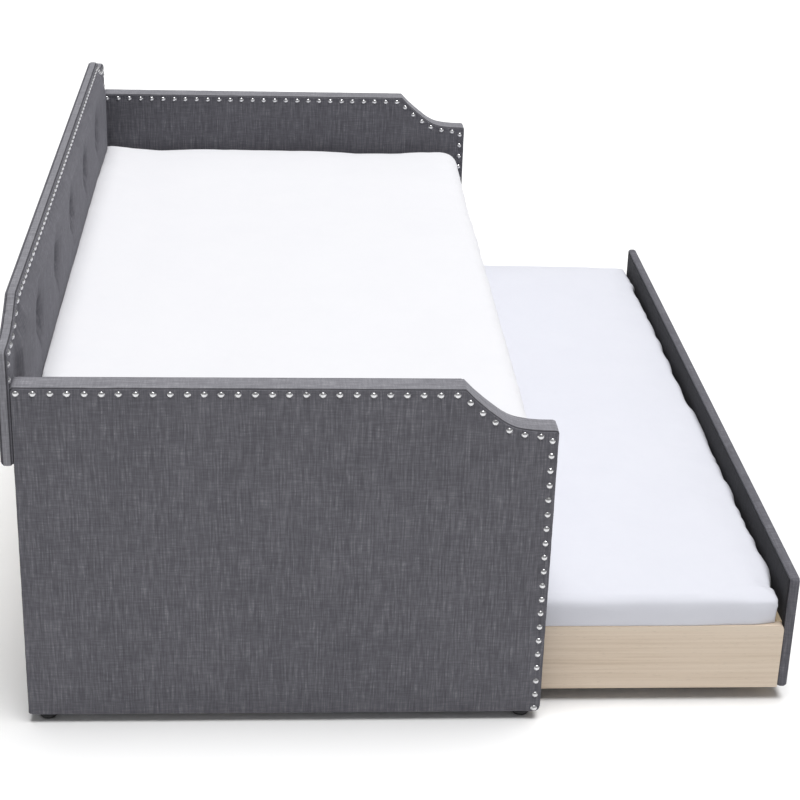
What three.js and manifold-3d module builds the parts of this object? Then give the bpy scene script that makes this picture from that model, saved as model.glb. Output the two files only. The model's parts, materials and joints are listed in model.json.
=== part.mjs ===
// Upholstered daybed with a pull-out trundle bed on casters.
// Millimetres, +Z up. X runs along the bed's length, the bed's front faces -Y,
// and the floor is Z = 0. The origin is on the floor under the middle of the
// whole bed with the trundle pulled half-way out.
import * as THREE from 'three';
import { mergeVertices } from 'three/addons/utils/BufferGeometryUtils.js';
import Module from 'manifold-3d';

const wasm = await Module();
wasm.setup();

// ---------------------------------------------------------------- dimensions
const GAP = 0.3;                 // air between pieces that touch

// daybed, overall
const LENGTH = 2080;             // outside face to outside face of the arms
const ARM_DEPTH = 1020;          // back edge to front edge of an arm
const ARM_THICK = 58;
const ARM_TOP = 727;             // height of an arm's top edge
const ARM_SHOULDER = 642;        // height of the ledge at an arm's front
const ARM_BOTTOM = 18;           // the glides lift the arms this much
const ARM_SCALLOP = 180;         // length of the scooped front corner
const ARM_SKIN = 8;              // foam and fabric round an arm's core
const ARM_TOE_R = 12;            // rounded bottom front corner

// back panel, bolted behind the arms
const BACK_THICK = 24;
const BACK_BOTTOM = 568;
const BACK_SHOULDER = 800;
const BACK_TOP = 847;
const BACK_SCALLOP = 176;
const BACK_SKIN = 5.5;
const BACK_PAD = 11;             // how far the padded field stands forward

// base of the daybed
const RAIL_TOP = 355;
const FRONT_RAIL_BOTTOM = 262;
const FRONT_RAIL_THICK = 34;
const FRONT_RAIL_FACE = 990;     // distance of its front face from the arms' back edge
const FRONT_RAIL_SKIN = 5;
const REAR_RAIL_THICK = 20;
const LEDGER = [22, 25];         // depth, height of the strips that carry the slats
const SLAT = [70, 18];           // width, thickness
const SLAT_PITCH = 196;
const SLAT_COUNT = 10;
const BRACKET = [45, 3, 44];     // leg length, sheet thickness, height
const GLIDE_R = 17.5;
const GLIDE_INSET = 36;          // centre of a glide from the arm's front or back edge

// nailhead trim: nail heads in a row, joined by a narrow backing strip
const TRIM_WIDTH = 3;
const TRIM_STRIP = 0.8;          // thickness of the backing strip
const TRIM_PROUD = 3.4;          // height of a nail head
const TRIM_INSET = 12;           // centre line of the trim from the panel's edge
const NAIL_R = 7;
const NAIL_PITCH = 31.4;
const NAIL_SIDES = 6;

// daybed mattress
const MATTRESS_LENGTH = 1930;
const MATTRESS_BACK = 16;        // its back edge, from the arms' back edge
const MATTRESS_FRONT = 1000;
const MATTRESS_TOP = 578;

// trundle
const PULLED_OUT = 520;          // how far it stands out of the daybed here
const TRUNDLE_LENGTH = 1948;
const TRUNDLE_DEPTH = 1000;      // front face of its panel to back of its rear rail
const TRUNDLE_BOTTOM = 30;
const TRUNDLE_PANEL_TOP = 285;
const TRUNDLE_PANEL_THICK = 20;
const TRUNDLE_PANEL_SKIN = 3.6;
const TRUNDLE_RAIL_TOP = 176;
const TRUNDLE_RAIL_THICK = 18;
const TRUNDLE_LEDGE = [15, 18];  // depth, height of the lip that carries the slats
const TRUNDLE_SLAT_BOTTOM = 72;
const TRUNDLE_SLAT = [70, 15];
const TRUNDLE_SLAT_PITCH = 300;
const TRUNDLE_SLAT_COUNT = 6;
const TRUNDLE_MATTRESS_TOP = 245;
const WHEEL_R = 25;
const WHEEL_WIDTH = 20;
const AXLE_R = 4;
const FORK_PLATE = 2.5;
const FORK_INNER = 24;
const FORK_TOP = 71.7;
const FORK_LENGTH = 34;

// The arms' back edge lies this far behind the origin, so that the whole bed,
// trundle included, is centred on it.
const ARM_BACK_Y = (ARM_DEPTH + PULLED_OUT + BACK_THICK) / 2 - BACK_THICK;
const yAt = (u) => ARM_BACK_Y - u;      // u: distance forward of the arms' back edge

// ---------------------------------------------------------------- materials
const mat = (color, roughness, metalness = 0) =>
  new THREE.MeshStandardMaterial({ color, roughness, metalness });
const linen = mat(0x626166, 0.95);
const linenDark = mat(0x4c4c51, 0.95);
const nickel = mat(0xc9c8cc, 0.25, 1);
const board = mat(0xb79a72, 0.8);
const pine = mat(0xd8c6ab, 0.65);
const pineLight = mat(0xe0d0b8, 0.7);
const sheet = mat(0xf3f3f6, 0.9);
const plastic = mat(0x1c1c1e, 0.5);
const steel = mat(0x8d9096, 0.4, 1);
const tread = mat(0x3a3a3c, 0.6);

// ---------------------------------------------------------------- helpers
const group = new THREE.Group();
const X_IS_OUT = new THREE.Matrix4().makeBasis(      // sketch (Y, Z), pulled along +X
  new THREE.Vector3(0, 1, 0), new THREE.Vector3(0, 0, 1), new THREE.Vector3(1, 0, 0));
const Y_IS_OUT = new THREE.Matrix4().makeBasis(      // sketch (X, Z), pulled along -Y
  new THREE.Vector3(1, 0, 0), new THREE.Vector3(0, 0, 1), new THREE.Vector3(0, -1, 0));

function add(name, geometry, material, x = 0, y = 0, z = 0, basis = null, parent = group) {
  const mesh = new THREE.Mesh(geometry, material);
  mesh.name = name;
  mesh.position.set(x, y, z);
  if (basis) mesh.quaternion.setFromRotationMatrix(basis);
  parent.add(mesh);
  return mesh;
}

const shapeOf = (points) => new THREE.Shape(points.map(([a, b]) => new THREE.Vector2(a, b)));
const extrude = (points, depth) =>
  new THREE.ExtrudeGeometry(shapeOf(points), { depth, bevelEnabled: false });

// A box given by its corners, in the bed's own X, u and Z.
function addBox(name, material, x0, x1, u0, u1, z0, z1, parent = group) {
  return add(name, new THREE.BoxGeometry(x1 - x0, u1 - u0, z1 - z0), material,
    (x0 + x1) / 2, yAt((u0 + u1) / 2), (z0 + z1) / 2, null, parent);
}

function toManifold(geometry) {
  const g = geometry.clone();
  g.deleteAttribute('normal');
  g.deleteAttribute('uv');
  const m = mergeVertices(g, 1e-4);
  return new wasm.Manifold(new wasm.Mesh({
    numProp: 3,
    vertProperties: new Float32Array(m.attributes.position.array),
    triVerts: new Uint32Array(m.index.array),
  }));
}

function fromManifold(solid) {
  const mesh = solid.getMesh();
  const g = new THREE.BufferGeometry();
  g.setAttribute('position', new THREE.BufferAttribute(new Float32Array(mesh.vertProperties), 3));
  g.setIndex(new THREE.BufferAttribute(new Uint32Array(mesh.triVerts), 1));
  g.computeVertexNormals();
  return g;
}

const cut = (a, ...tools) =>
  fromManifold(tools.reduce((solid, tool) => solid.subtract(toManifold(tool)), toManifold(a)));

// Moves an outline (counter-clockwise) inwards by d, keeping its corners sharp.
function inset(points, d) {
  const n = points.length;
  const lines = points.map((p, i) => {
    const q = points[(i + 1) % n];
    const dx = q[0] - p[0], dy = q[1] - p[1], len = Math.hypot(dx, dy);
    const nx = -dy / len, ny = dx / len;           // inward normal
    return { nx, ny, c: nx * p[0] + ny * p[1] + d };
  });
  return points.map((_, i) => {
    const a = lines[(i + n - 1) % n], b = lines[i];
    const det = a.nx * b.ny - a.ny * b.nx;
    if (Math.abs(det) < 1e-6) return [b.nx * d + points[i][0], b.ny * d + points[i][1]];
    return [(a.c * b.ny - b.c * a.ny) / det, (a.nx * b.c - b.nx * a.c) / det];
  });
}

// The scooped corner: from the upper cusp down to the ledge, as fractions of
// the scallop's length and drop.
const SCOOP = [[0, 0], [0.1, 0.22], [0.205, 0.42], [0.31, 0.6], [0.425, 0.78], [0.535, 0.895],
  [0.66, 0.955], [0.81, 0.99], [1, 1]];

// ---------------------------------------------------------------- arm panels
// Arm outline in (u forward, Z up); front is +u. Counter-clockwise.
function armOutline(bottom, toe) {
  const pts = [[0, bottom]];
  if (toe) {
    for (let i = 0; i <= 3; i++) {
      const a = -Math.PI / 2 + (i * Math.PI) / 6;
      pts.push([ARM_DEPTH - toe + toe * Math.cos(a), bottom + toe + toe * Math.sin(a)]);
    }
  } else pts.push([ARM_DEPTH, bottom]);
  const cusp = ARM_DEPTH - ARM_SCALLOP;
  for (let i = SCOOP.length - 1; i >= 0; i--) {
    pts.push([cusp + SCOOP[i][0] * ARM_SCALLOP, ARM_TOP - SCOOP[i][1] * (ARM_TOP - ARM_SHOULDER)]);
  }
  pts.push([0, ARM_TOP]);
  return pts;
}
// The bed's Y grows backwards, so a (u, Z) outline is mirrored into (Y, Z) and
// its order reversed to stay counter-clockwise.
const toYZ = (pts) => pts.map(([u, z]) => [yAt(u), z]).reverse();

// The core goes in from below, where the fabric is stapled under its edge.
function openAtBottom(points, bottom, to) {
  return points.map(([a, z]) => [a, z < bottom + 60 ? to : z]);
}

// Points every NAIL_PITCH or so along a path, first and last on its ends.
function alongPath(path) {
  const lens = path.slice(1).map((p, i) => Math.hypot(p[0] - path[i][0], p[1] - path[i][1]));
  const total = lens.reduce((a, b) => a + b, 0);
  const count = Math.round(total / NAIL_PITCH);
  const out = [];
  for (let k = 0; k <= count; k++) {
    let s = Math.min((total * k) / count, total - 1e-6), i = 0;
    while (s > lens[i]) s -= lens[i++];
    const f = s / lens[i];
    out.push([path[i][0] + f * (path[i + 1][0] - path[i][0]), path[i][1] + f * (path[i + 1][1] - path[i][1])]);
  }
  return out;
}

// The trim along a path: a narrow strip with a nail head at each nail. edges are
// the strip's two long edges. The heads point along the sketch's normal when up
// is 1 and against it when up is -1.
function nailTrim(edges, path, up) {
  const [near, far] = edges;
  const strip = extrude([...near, ...[...far].reverse()], TRIM_STRIP);
  if (up < 0) strip.translate(0, 0, TRIM_PROUD - TRIM_STRIP);
  let solid = toManifold(strip);
  for (const [a, b] of alongPath(path)) {
    const head = new THREE.ConeGeometry(NAIL_R, TRIM_PROUD, NAIL_SIDES, 1)
      .rotateX(up > 0 ? Math.PI / 2 : -Math.PI / 2).translate(a, b, TRIM_PROUD / 2);
    solid = solid.add(toManifold(head));
  }
  return fromManifold(solid);
}

function arm(side, name) {
  const x0 = side < 0 ? -LENGTH / 2 : LENGTH / 2 - ARM_THICK;
  const outer = armOutline(ARM_BOTTOM, ARM_TOE_R);
  const plain = armOutline(ARM_BOTTOM, 0);
  const pocket = openAtBottom(inset(plain, ARM_SKIN), ARM_BOTTOM, ARM_BOTTOM - 20);
  const pocketGeom = extrude(toYZ(pocket), ARM_THICK - 2 * ARM_SKIN).translate(0, 0, ARM_SKIN);
  add(`${name}_arm_cover`, cut(extrude(toYZ(outer), ARM_THICK), pocketGeom), linen, x0, 0, 0, X_IS_OUT);

  const core = openAtBottom(inset(plain, ARM_SKIN + GAP), ARM_BOTTOM, ARM_BOTTOM);
  const coreThick = ARM_THICK - 2 * (ARM_SKIN + GAP);
  add(`${name}_arm_core`, extrude(toYZ(core), coreThick), board, x0 + ARM_SKIN + GAP, 0, 0, X_IS_OUT);

  // The trim runs along the top from the back, round the scoop and down the front.
  const line = (d) => {
    const p = inset(plain, d).slice(1);       // bottom front, ledge, scoop, top back
    p[0][1] = ARM_BOTTOM + NAIL_R + 1;
    p[p.length - 1][0] = NAIL_R + 3;
    return p.map(([u, z]) => [yAt(u), z]);
  };
  const edges = [line(TRIM_INSET + TRIM_WIDTH / 2), line(TRIM_INSET - TRIM_WIDTH / 2)];
  const path = line(TRIM_INSET);
  const faceX = [x0 - GAP - TRIM_PROUD, x0 + ARM_THICK + GAP];       // left-hand face, right-hand face
  const trimLeft = nailTrim(edges, path, -1), trimRight = nailTrim(edges, path, 1);
  add(`${name}_arm_${side < 0 ? 'outer' : 'inner'}_nail_trim`, trimLeft, nickel, faceX[0], 0, 0, X_IS_OUT);
  add(`${name}_arm_${side < 0 ? 'inner' : 'outer'}_nail_trim`, trimRight, nickel, faceX[1], 0, 0, X_IS_OUT);

  // Glides under the core.
  const glide = new THREE.LatheGeometry([[0, 0], [GLIDE_R - 2, 0], [GLIDE_R, 2], [GLIDE_R, 6],
    [GLIDE_R - 3, 9], [GLIDE_R - 3, ARM_BOTTOM - GAP], [0, ARM_BOTTOM - GAP]]
    .map(([r, z]) => new THREE.Vector2(r, z)), 16).rotateX(Math.PI / 2);
  const xc = x0 + ARM_THICK / 2;
  add(`${name}_front_glide`, glide, plastic, xc, yAt(ARM_DEPTH - GLIDE_INSET), 0);
  add(`${name}_rear_glide`, glide, plastic, xc, yAt(GLIDE_INSET), 0);
}
arm(-1, 'left');
arm(1, 'right');

// ---------------------------------------------------------------- back panel
function backOutline(bottom) {
  const h = LENGTH / 2;
  const right = SCOOP.map(([a, b]) => [h - BACK_SCALLOP + a * BACK_SCALLOP,
    BACK_TOP - b * (BACK_TOP - BACK_SHOULDER)]);
  const pts = [[-h, bottom], [h, bottom]];
  for (let i = right.length - 1; i >= 0; i--) pts.push(right[i]);
  for (let i = 0; i < right.length; i++) pts.push([-right[i][0], right[i][1]]);
  return pts;
}
{
  const plain = backOutline(BACK_BOTTOM);
  const slab = extrude(plain, BACK_THICK);                     // local z 0 = rear face
  const pocket = openAtBottom(inset(plain, BACK_SKIN + 2), BACK_BOTTOM, BACK_BOTTOM - 20);
  const pocketGeom = extrude(pocket, BACK_THICK - 2 * BACK_SKIN).translate(0, 0, BACK_SKIN);
  // padded field, standing forward between the arms
  const hx = LENGTH / 2 - ARM_THICK - 8;
  const pad = extrude([[-hx, BACK_BOTTOM + 18], [hx, BACK_BOTTOM + 18], [hx, BACK_SHOULDER - 30],
    [hx - 130, BACK_TOP - 30], [-hx + 130, BACK_TOP - 30], [-hx, BACK_SHOULDER - 30]], BACK_PAD + 1);
  pad.translate(0, 0, BACK_THICK - 1);
  const cover = toManifold(slab).add(toManifold(pad)).subtract(toManifold(pocketGeom));
  add('back_panel_cover', fromManifold(cover), linen, 0, yAt(-BACK_THICK), 0, Y_IS_OUT);

  const core = openAtBottom(inset(plain, BACK_SKIN + 2 + GAP), BACK_BOTTOM, BACK_BOTTOM);
  add('back_panel_core', extrude(core, BACK_THICK - 2 * (BACK_SKIN + GAP)), board,
    0, yAt(-BACK_THICK + BACK_SKIN + GAP), 0, Y_IS_OUT);

  // the trim runs up one end from above the arm, along the top and down the other end
  const low = ARM_TOP + NAIL_R + 4;
  const line = (d) => {
    const p = inset(plain, d);
    return [[p[1][0], low], ...p.slice(2), [p[0][0], low]];
  };
  add('back_panel_nail_trim',
    nailTrim([line(TRIM_INSET - TRIM_WIDTH / 2), line(TRIM_INSET + TRIM_WIDTH / 2)], line(TRIM_INSET), 1),
    nickel, 0, yAt(GAP), 0, Y_IS_OUT);
}

// ---------------------------------------------------------------- daybed base
const innerX = LENGTH / 2 - ARM_THICK - GAP;
{
  // front rail: a board in a fabric sleeve, open at its two ends
  const u1 = FRONT_RAIL_FACE, u0 = u1 - FRONT_RAIL_THICK, s = FRONT_RAIL_SKIN;
  const rect = (a0, a1, b0, b1) => [[a0, b0], [a1, b0], [a1, b1], [a0, b1]];
  const sleeve = shapeOf(rect(yAt(u1), yAt(u0), FRONT_RAIL_BOTTOM, RAIL_TOP));
  sleeve.holes.push(new THREE.Path(rect(yAt(u1 - s), yAt(u0 + s), FRONT_RAIL_BOTTOM + s, RAIL_TOP - s)
    .reverse().map(([a, b]) => new THREE.Vector2(a, b))));
  add('front_rail_cover', new THREE.ExtrudeGeometry(sleeve, { depth: 2 * innerX, bevelEnabled: false }),
    linen, -innerX, 0, 0, X_IS_OUT);
  addBox('front_rail_core', board, -innerX, innerX, u0 + s + GAP, u1 - s - GAP,
    FRONT_RAIL_BOTTOM + s + GAP, RAIL_TOP - s - GAP);

  addBox('rear_rail', pine, -innerX, innerX, 4, 4 + REAR_RAIL_THICK, FRONT_RAIL_BOTTOM - 22, RAIL_TOP);

  const rearIn = 4 + REAR_RAIL_THICK + GAP, frontIn = u0 - GAP;
  const slatBottom = RAIL_TOP - SLAT[1];
  const lx = innerX - 22;
  addBox('rear_slat_ledger', pine, -lx, lx, rearIn, rearIn + LEDGER[0], slatBottom - GAP - LEDGER[1], slatBottom - GAP);
  addBox('front_slat_ledger', pine, -lx, lx, frontIn - LEDGER[0], frontIn, slatBottom - GAP - LEDGER[1], slatBottom - GAP);

  for (let i = 0; i < SLAT_COUNT; i++) {
    const x = (i - (SLAT_COUNT - 1) / 2) * SLAT_PITCH;
    addBox(`slat_${String(i + 1).padStart(2, '0')}`, pineLight, x - SLAT[0] / 2, x + SLAT[0] / 2,
      rearIn, frontIn, slatBottom, RAIL_TOP);
  }

  // corner brackets, under the ledgers' level, joining each rail to each arm
  const [leg, sheetT, high] = BRACKET;
  const top = slatBottom - GAP - LEDGER[1] - 2;
  for (const [sx, sideName] of [[-1, 'left'], [1, 'right']]) {
    for (const [rear, place] of [[true, 'rear'], [false, 'front']]) {
      const xa = sx * (innerX - GAP), ya = rear ? yAt(rearIn) : yAt(frontIn);
      const dirX = -sx, dirY = rear ? -1 : 1;
      let pts = [[0, 0], [leg * dirX, 0], [leg * dirX, sheetT * dirY], [sheetT * dirX, sheetT * dirY],
        [sheetT * dirX, leg * dirY], [0, leg * dirY]];
      if (dirX * dirY < 0) pts = pts.reverse();
      add(`${sideName}_${place}_rail_bracket`, extrude(pts, high), steel, xa, ya, top - high);
    }
  }
}

// ---------------------------------------------------------------- mattresses
// A plain block with its upright edges and rims rounded off.
function mattress(name, length, u0, u1, z0, z1, r) {
  const w = length / 2 - 2, d = (u1 - u0) / 2 - 2, c = 45;
  const corner = [];
  const quarter = (cx, cy, a0) => {
    for (let i = 0; i <= 3; i++) {
      const a = a0 + (i * Math.PI) / 6;
      corner.push([cx + c * Math.cos(a), cy + c * Math.sin(a)]);
    }
  };
  quarter(w - r - c + 2, d - r - c + 2, 0);
  quarter(-(w - r - c + 2), d - r - c + 2, Math.PI / 2);
  quarter(-(w - r - c + 2), -(d - r - c + 2), Math.PI);
  quarter(w - r - c + 2, -(d - r - c + 2), (3 * Math.PI) / 2);
  const g = new THREE.ExtrudeGeometry(shapeOf(corner), {
    depth: z1 - z0 - 2 * r, bevelEnabled: true, bevelThickness: r, bevelSize: r, bevelSegments: 2, steps: 1,
  });
  add(name, g, sheet, 0, yAt((u0 + u1) / 2), z0 + r);
}
mattress('daybed_mattress', MATTRESS_LENGTH, MATTRESS_BACK, MATTRESS_FRONT, RAIL_TOP + GAP, MATTRESS_TOP, 28);

// ---------------------------------------------------------------- trundle
{
  const front = ARM_DEPTH + PULLED_OUT;                 // outer face of the panel
  const back = front - TRUNDLE_DEPTH;                   // back of the rear rail
  const hx = TRUNDLE_LENGTH / 2;
  const t = TRUNDLE_RAIL_THICK;

  // upholstered front panel
  const r = 6;
  const outline = [[-hx, TRUNDLE_BOTTOM], [hx, TRUNDLE_BOTTOM], [hx, TRUNDLE_PANEL_TOP - r],
    [hx - r * 0.3, TRUNDLE_PANEL_TOP - r * 0.3], [hx - r, TRUNDLE_PANEL_TOP],
    [-hx + r, TRUNDLE_PANEL_TOP], [-hx + r * 0.3, TRUNDLE_PANEL_TOP - r * 0.3], [-hx, TRUNDLE_PANEL_TOP - r]];
  const s = TRUNDLE_PANEL_SKIN, e = 6;
  const inner = (m) => [[-hx + m, TRUNDLE_BOTTOM], [hx - m, TRUNDLE_BOTTOM], [hx - m, TRUNDLE_PANEL_TOP - m],
    [-hx + m, TRUNDLE_PANEL_TOP - m]];
  const pocket = extrude(openAtBottom(inner(e), TRUNDLE_BOTTOM, TRUNDLE_BOTTOM - 20), TRUNDLE_PANEL_THICK - 2 * s)
    .translate(0, 0, s);
  add('trundle_panel_cover', cut(extrude(outline, TRUNDLE_PANEL_THICK), pocket), linenDark,
    0, yAt(front - TRUNDLE_PANEL_THICK), 0, Y_IS_OUT);
  add('trundle_panel_core', extrude(inner(e + GAP), TRUNDLE_PANEL_THICK - 2 * (s + GAP)), board,
    0, yAt(front - TRUNDLE_PANEL_THICK + s + GAP), 0, Y_IS_OUT);

  // end rails, with a rounded top front corner against the panel
  const rf = front - TRUNDLE_PANEL_THICK - GAP;
  const end = [[back, TRUNDLE_BOTTOM], [rf, TRUNDLE_BOTTOM], [rf, TRUNDLE_RAIL_TOP - 8],
    [rf - 2.4, TRUNDLE_RAIL_TOP - 2.4], [rf - 8, TRUNDLE_RAIL_TOP],
    [back + 8, TRUNDLE_RAIL_TOP], [back + 2.4, TRUNDLE_RAIL_TOP - 2.4], [back, TRUNDLE_RAIL_TOP - 8]];
  add('trundle_left_end_rail', extrude(toYZ(end), t), pine, -hx, 0, 0, X_IS_OUT);
  add('trundle_right_end_rail', extrude(toYZ(end), t), pine, hx - t, 0, 0, X_IS_OUT);

  // rear rail and inner front rail, each with a lip under the slats
  const rx = hx - t - GAP;
  const [lipD, lipH] = TRUNDLE_LEDGE, lipTop = TRUNDLE_SLAT_BOTTOM - GAP;
  const rearRail = [[back, TRUNDLE_BOTTOM], [back + t, TRUNDLE_BOTTOM], [back + t, lipTop - lipH],
    [back + t + lipD, lipTop - lipH], [back + t + lipD, lipTop], [back + t, lipTop],
    [back + t, TRUNDLE_RAIL_TOP], [back, TRUNDLE_RAIL_TOP]];
  const frontRail = rearRail.map(([u, z]) => [rf - (u - back), z]).reverse();
  add('trundle_rear_rail', extrude(toYZ(rearRail), 2 * rx), pine, -rx, 0, 0, X_IS_OUT);
  add('trundle_inner_front_rail', extrude(toYZ(frontRail), 2 * rx), pine, -rx, 0, 0, X_IS_OUT);

  const s0 = back + t + GAP, s1 = rf - t - GAP;
  for (let i = 0; i < TRUNDLE_SLAT_COUNT; i++) {
    const x = (i - (TRUNDLE_SLAT_COUNT - 1) / 2) * TRUNDLE_SLAT_PITCH;
    addBox(`trundle_slat_${i + 1}`, pineLight, x - TRUNDLE_SLAT[0] / 2, x + TRUNDLE_SLAT[0] / 2, s0, s1,
      TRUNDLE_SLAT_BOTTOM, TRUNDLE_SLAT_BOTTOM + TRUNDLE_SLAT[1]);
  }
  mattress('trundle_mattress', 2 * rx - 16, s0 + 3, s1 - 3,
    TRUNDLE_SLAT_BOTTOM + TRUNDLE_SLAT[1] + GAP, TRUNDLE_MATTRESS_TOP, 24);

  // fixed casters, screwed up into the two end slats
  const forkOut = FORK_INNER + 2 * FORK_PLATE;
  const forkBottom = WHEEL_R - 9;
  const half = WHEEL_WIDTH / 2;
  const wheel = new THREE.LatheGeometry([[AXLE_R + GAP, -half - 1], [9, -half - 1], [11, -half + 2],
    [WHEEL_R - 4, -half + 2], [WHEEL_R - 2, -half], [WHEEL_R, -half + 3], [WHEEL_R, half - 3],
    [WHEEL_R - 2, half], [WHEEL_R - 4, half - 2], [11, half - 2], [9, half + 1],
    [AXLE_R + GAP, half + 1], [AXLE_R + GAP, -half - 1]]
    .map(([a, b]) => new THREE.Vector2(a, b)), 24).rotateZ(-Math.PI / 2);
  const axle = new THREE.CylinderGeometry(AXLE_R, AXLE_R, forkOut - 0.4, 16).rotateZ(Math.PI / 2);
  const forkShape = [[-forkOut / 2, forkBottom], [-FORK_INNER / 2, forkBottom], [-FORK_INNER / 2, FORK_TOP - FORK_PLATE],
    [FORK_INNER / 2, FORK_TOP - FORK_PLATE], [FORK_INNER / 2, forkBottom], [forkOut / 2, forkBottom],
    [forkOut / 2, FORK_TOP], [-forkOut / 2, FORK_TOP]];
  const bore = new THREE.CylinderGeometry(AXLE_R + GAP, AXLE_R + GAP, forkOut + 10, 16).rotateZ(Math.PI / 2)
    .applyMatrix4(new THREE.Matrix4().copy(Y_IS_OUT).invert());
  bore.translate(0, WHEEL_R, FORK_LENGTH / 2);
  const fork = cut(extrude(forkShape, FORK_LENGTH), bore);
  const cx = 750;                  // the centre line of the end slats
  for (const [sx, sideName] of [[-1, 'left'], [1, 'right']]) {
    for (const [u, place] of [[back + t + 47, 'rear'], [rf - t - 57, 'front']]) {
      const caster = new THREE.Group();
      caster.position.set(sx * cx, yAt(u), 0);
      group.add(caster);
      add(`${sideName}_${place}_caster_fork`, fork, steel, 0, FORK_LENGTH / 2, 0, Y_IS_OUT, caster);
      add(`${sideName}_${place}_caster_wheel`, wheel, tread, 0, 0, WHEEL_R, null, caster);
      add(`${sideName}_${place}_caster_axle`, axle, steel, 0, 0, WHEEL_R, null, caster);
    }
  }
}

export default group;
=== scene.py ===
import bpy, bmesh, math, json
import numpy as np
from mathutils import Vector, Matrix
from mathutils.geometry import delaunay_2d_cdt


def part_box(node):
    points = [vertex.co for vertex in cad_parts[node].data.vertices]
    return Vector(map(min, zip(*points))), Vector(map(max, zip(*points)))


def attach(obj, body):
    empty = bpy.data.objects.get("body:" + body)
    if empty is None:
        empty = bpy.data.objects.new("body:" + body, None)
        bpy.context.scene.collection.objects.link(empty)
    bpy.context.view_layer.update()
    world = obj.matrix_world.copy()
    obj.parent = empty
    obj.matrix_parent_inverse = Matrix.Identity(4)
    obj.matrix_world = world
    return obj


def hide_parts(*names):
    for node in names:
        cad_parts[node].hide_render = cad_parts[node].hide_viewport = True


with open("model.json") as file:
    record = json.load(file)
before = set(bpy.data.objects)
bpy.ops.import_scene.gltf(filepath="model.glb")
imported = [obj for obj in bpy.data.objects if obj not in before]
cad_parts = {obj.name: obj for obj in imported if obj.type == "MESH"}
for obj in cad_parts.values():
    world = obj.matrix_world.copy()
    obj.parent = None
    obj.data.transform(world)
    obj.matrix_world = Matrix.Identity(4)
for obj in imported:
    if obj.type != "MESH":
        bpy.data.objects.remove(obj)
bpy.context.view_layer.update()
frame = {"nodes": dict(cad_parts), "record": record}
scene = bpy.context.scene

# ------------------------------------------------------------------ sizes, from the frame
_lo, _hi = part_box("left_arm_cover")
ARM_T = _hi.x - _lo.x
ARM_D = _hi.y - _lo.y
Y0 = _hi.y                       # the arms' back edge; u = Y0 - y runs forward from it
ARM_BOTTOM, ARM_TOP = _lo.z, _hi.z
HALF = -_lo.x                    # half the bed's length
SHOULDER = 0.642
SCALLOP = 0.180
TRIM_INSET = 0.012
NAIL_PITCH = 0.0314
SCOOP = [(0, 0), (0.1, 0.22), (0.205, 0.42), (0.31, 0.6), (0.425, 0.78), (0.535, 0.895),
         (0.66, 0.955), (0.81, 0.99), (1, 1)]
_blo, _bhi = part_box("back_panel_core")
BACK_BOTTOM, BACK_TOP, BACK_SHOULDER, BACK_SCALLOP = 0.568, 0.847, 0.800, 0.176
BACK_T = 0.024


# ------------------------------------------------------------------ noise (seeded, vectorised)
def _hash(ix, iy, iz, seed):
    h = (ix.astype(np.int64) * 374761393 + iy.astype(np.int64) * 668265263
         + iz.astype(np.int64) * 2147483647 + seed * 144665) & 0xFFFFFFFF
    h = ((h ^ (h >> 13)) * 1274126177) & 0xFFFFFFFF
    h = ((h ^ (h >> 16)) * 2246822519) & 0xFFFFFFFF
    h ^= h >> 15
    return (h & 0xFFFFFF) / float(0xFFFFFF) * 2 - 1


def vnoise(x, y, z=None, seed=0):
    """Smooth value noise in -1..1."""
    x = np.asarray(x, float)
    y = np.asarray(y, float) + 0 * x
    z = np.zeros_like(x) if z is None else np.asarray(z, float) + 0 * x
    xi, yi, zi = np.floor(x), np.floor(y), np.floor(z)
    fx, fy, fz = x - xi, y - yi, z - zi
    sx, sy, sz = (t * t * t * (t * (t * 6 - 15) + 10) for t in (fx, fy, fz))
    out = 0
    for dx in (0, 1):
        for dy in (0, 1):
            for dz in (0, 1):
                w = (sx if dx else 1 - sx) * (sy if dy else 1 - sy) * (sz if dz else 1 - sz)
                out = out + w * _hash(xi + dx, yi + dy, zi + dz, seed)
    return out


def fbm(x, y, z=None, octaves=3, seed=0):
    out, amp, f = 0, 1.0, 1.0
    for o in range(octaves):
        out = out + amp * vnoise(x * f, y * f, None if z is None else z * f, seed + 17 * o)
        amp *= 0.5
        f *= 2.03
    return out / 1.75


def smooth(t):
    t = np.clip(t, 0, 1)
    return t * t * (3 - 2 * t)


# ------------------------------------------------------------------ node materials
def new_mat(name):
    m = bpy.data.materials.new(name)
    m.use_nodes = True
    nt = m.node_tree
    nt.nodes.clear()
    out = nt.nodes.new("ShaderNodeOutputMaterial")
    bsdf = nt.nodes.new("ShaderNodeBsdfPrincipled")
    nt.links.new(bsdf.outputs[0], out.inputs[0])
    return m, nt, bsdf


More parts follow.
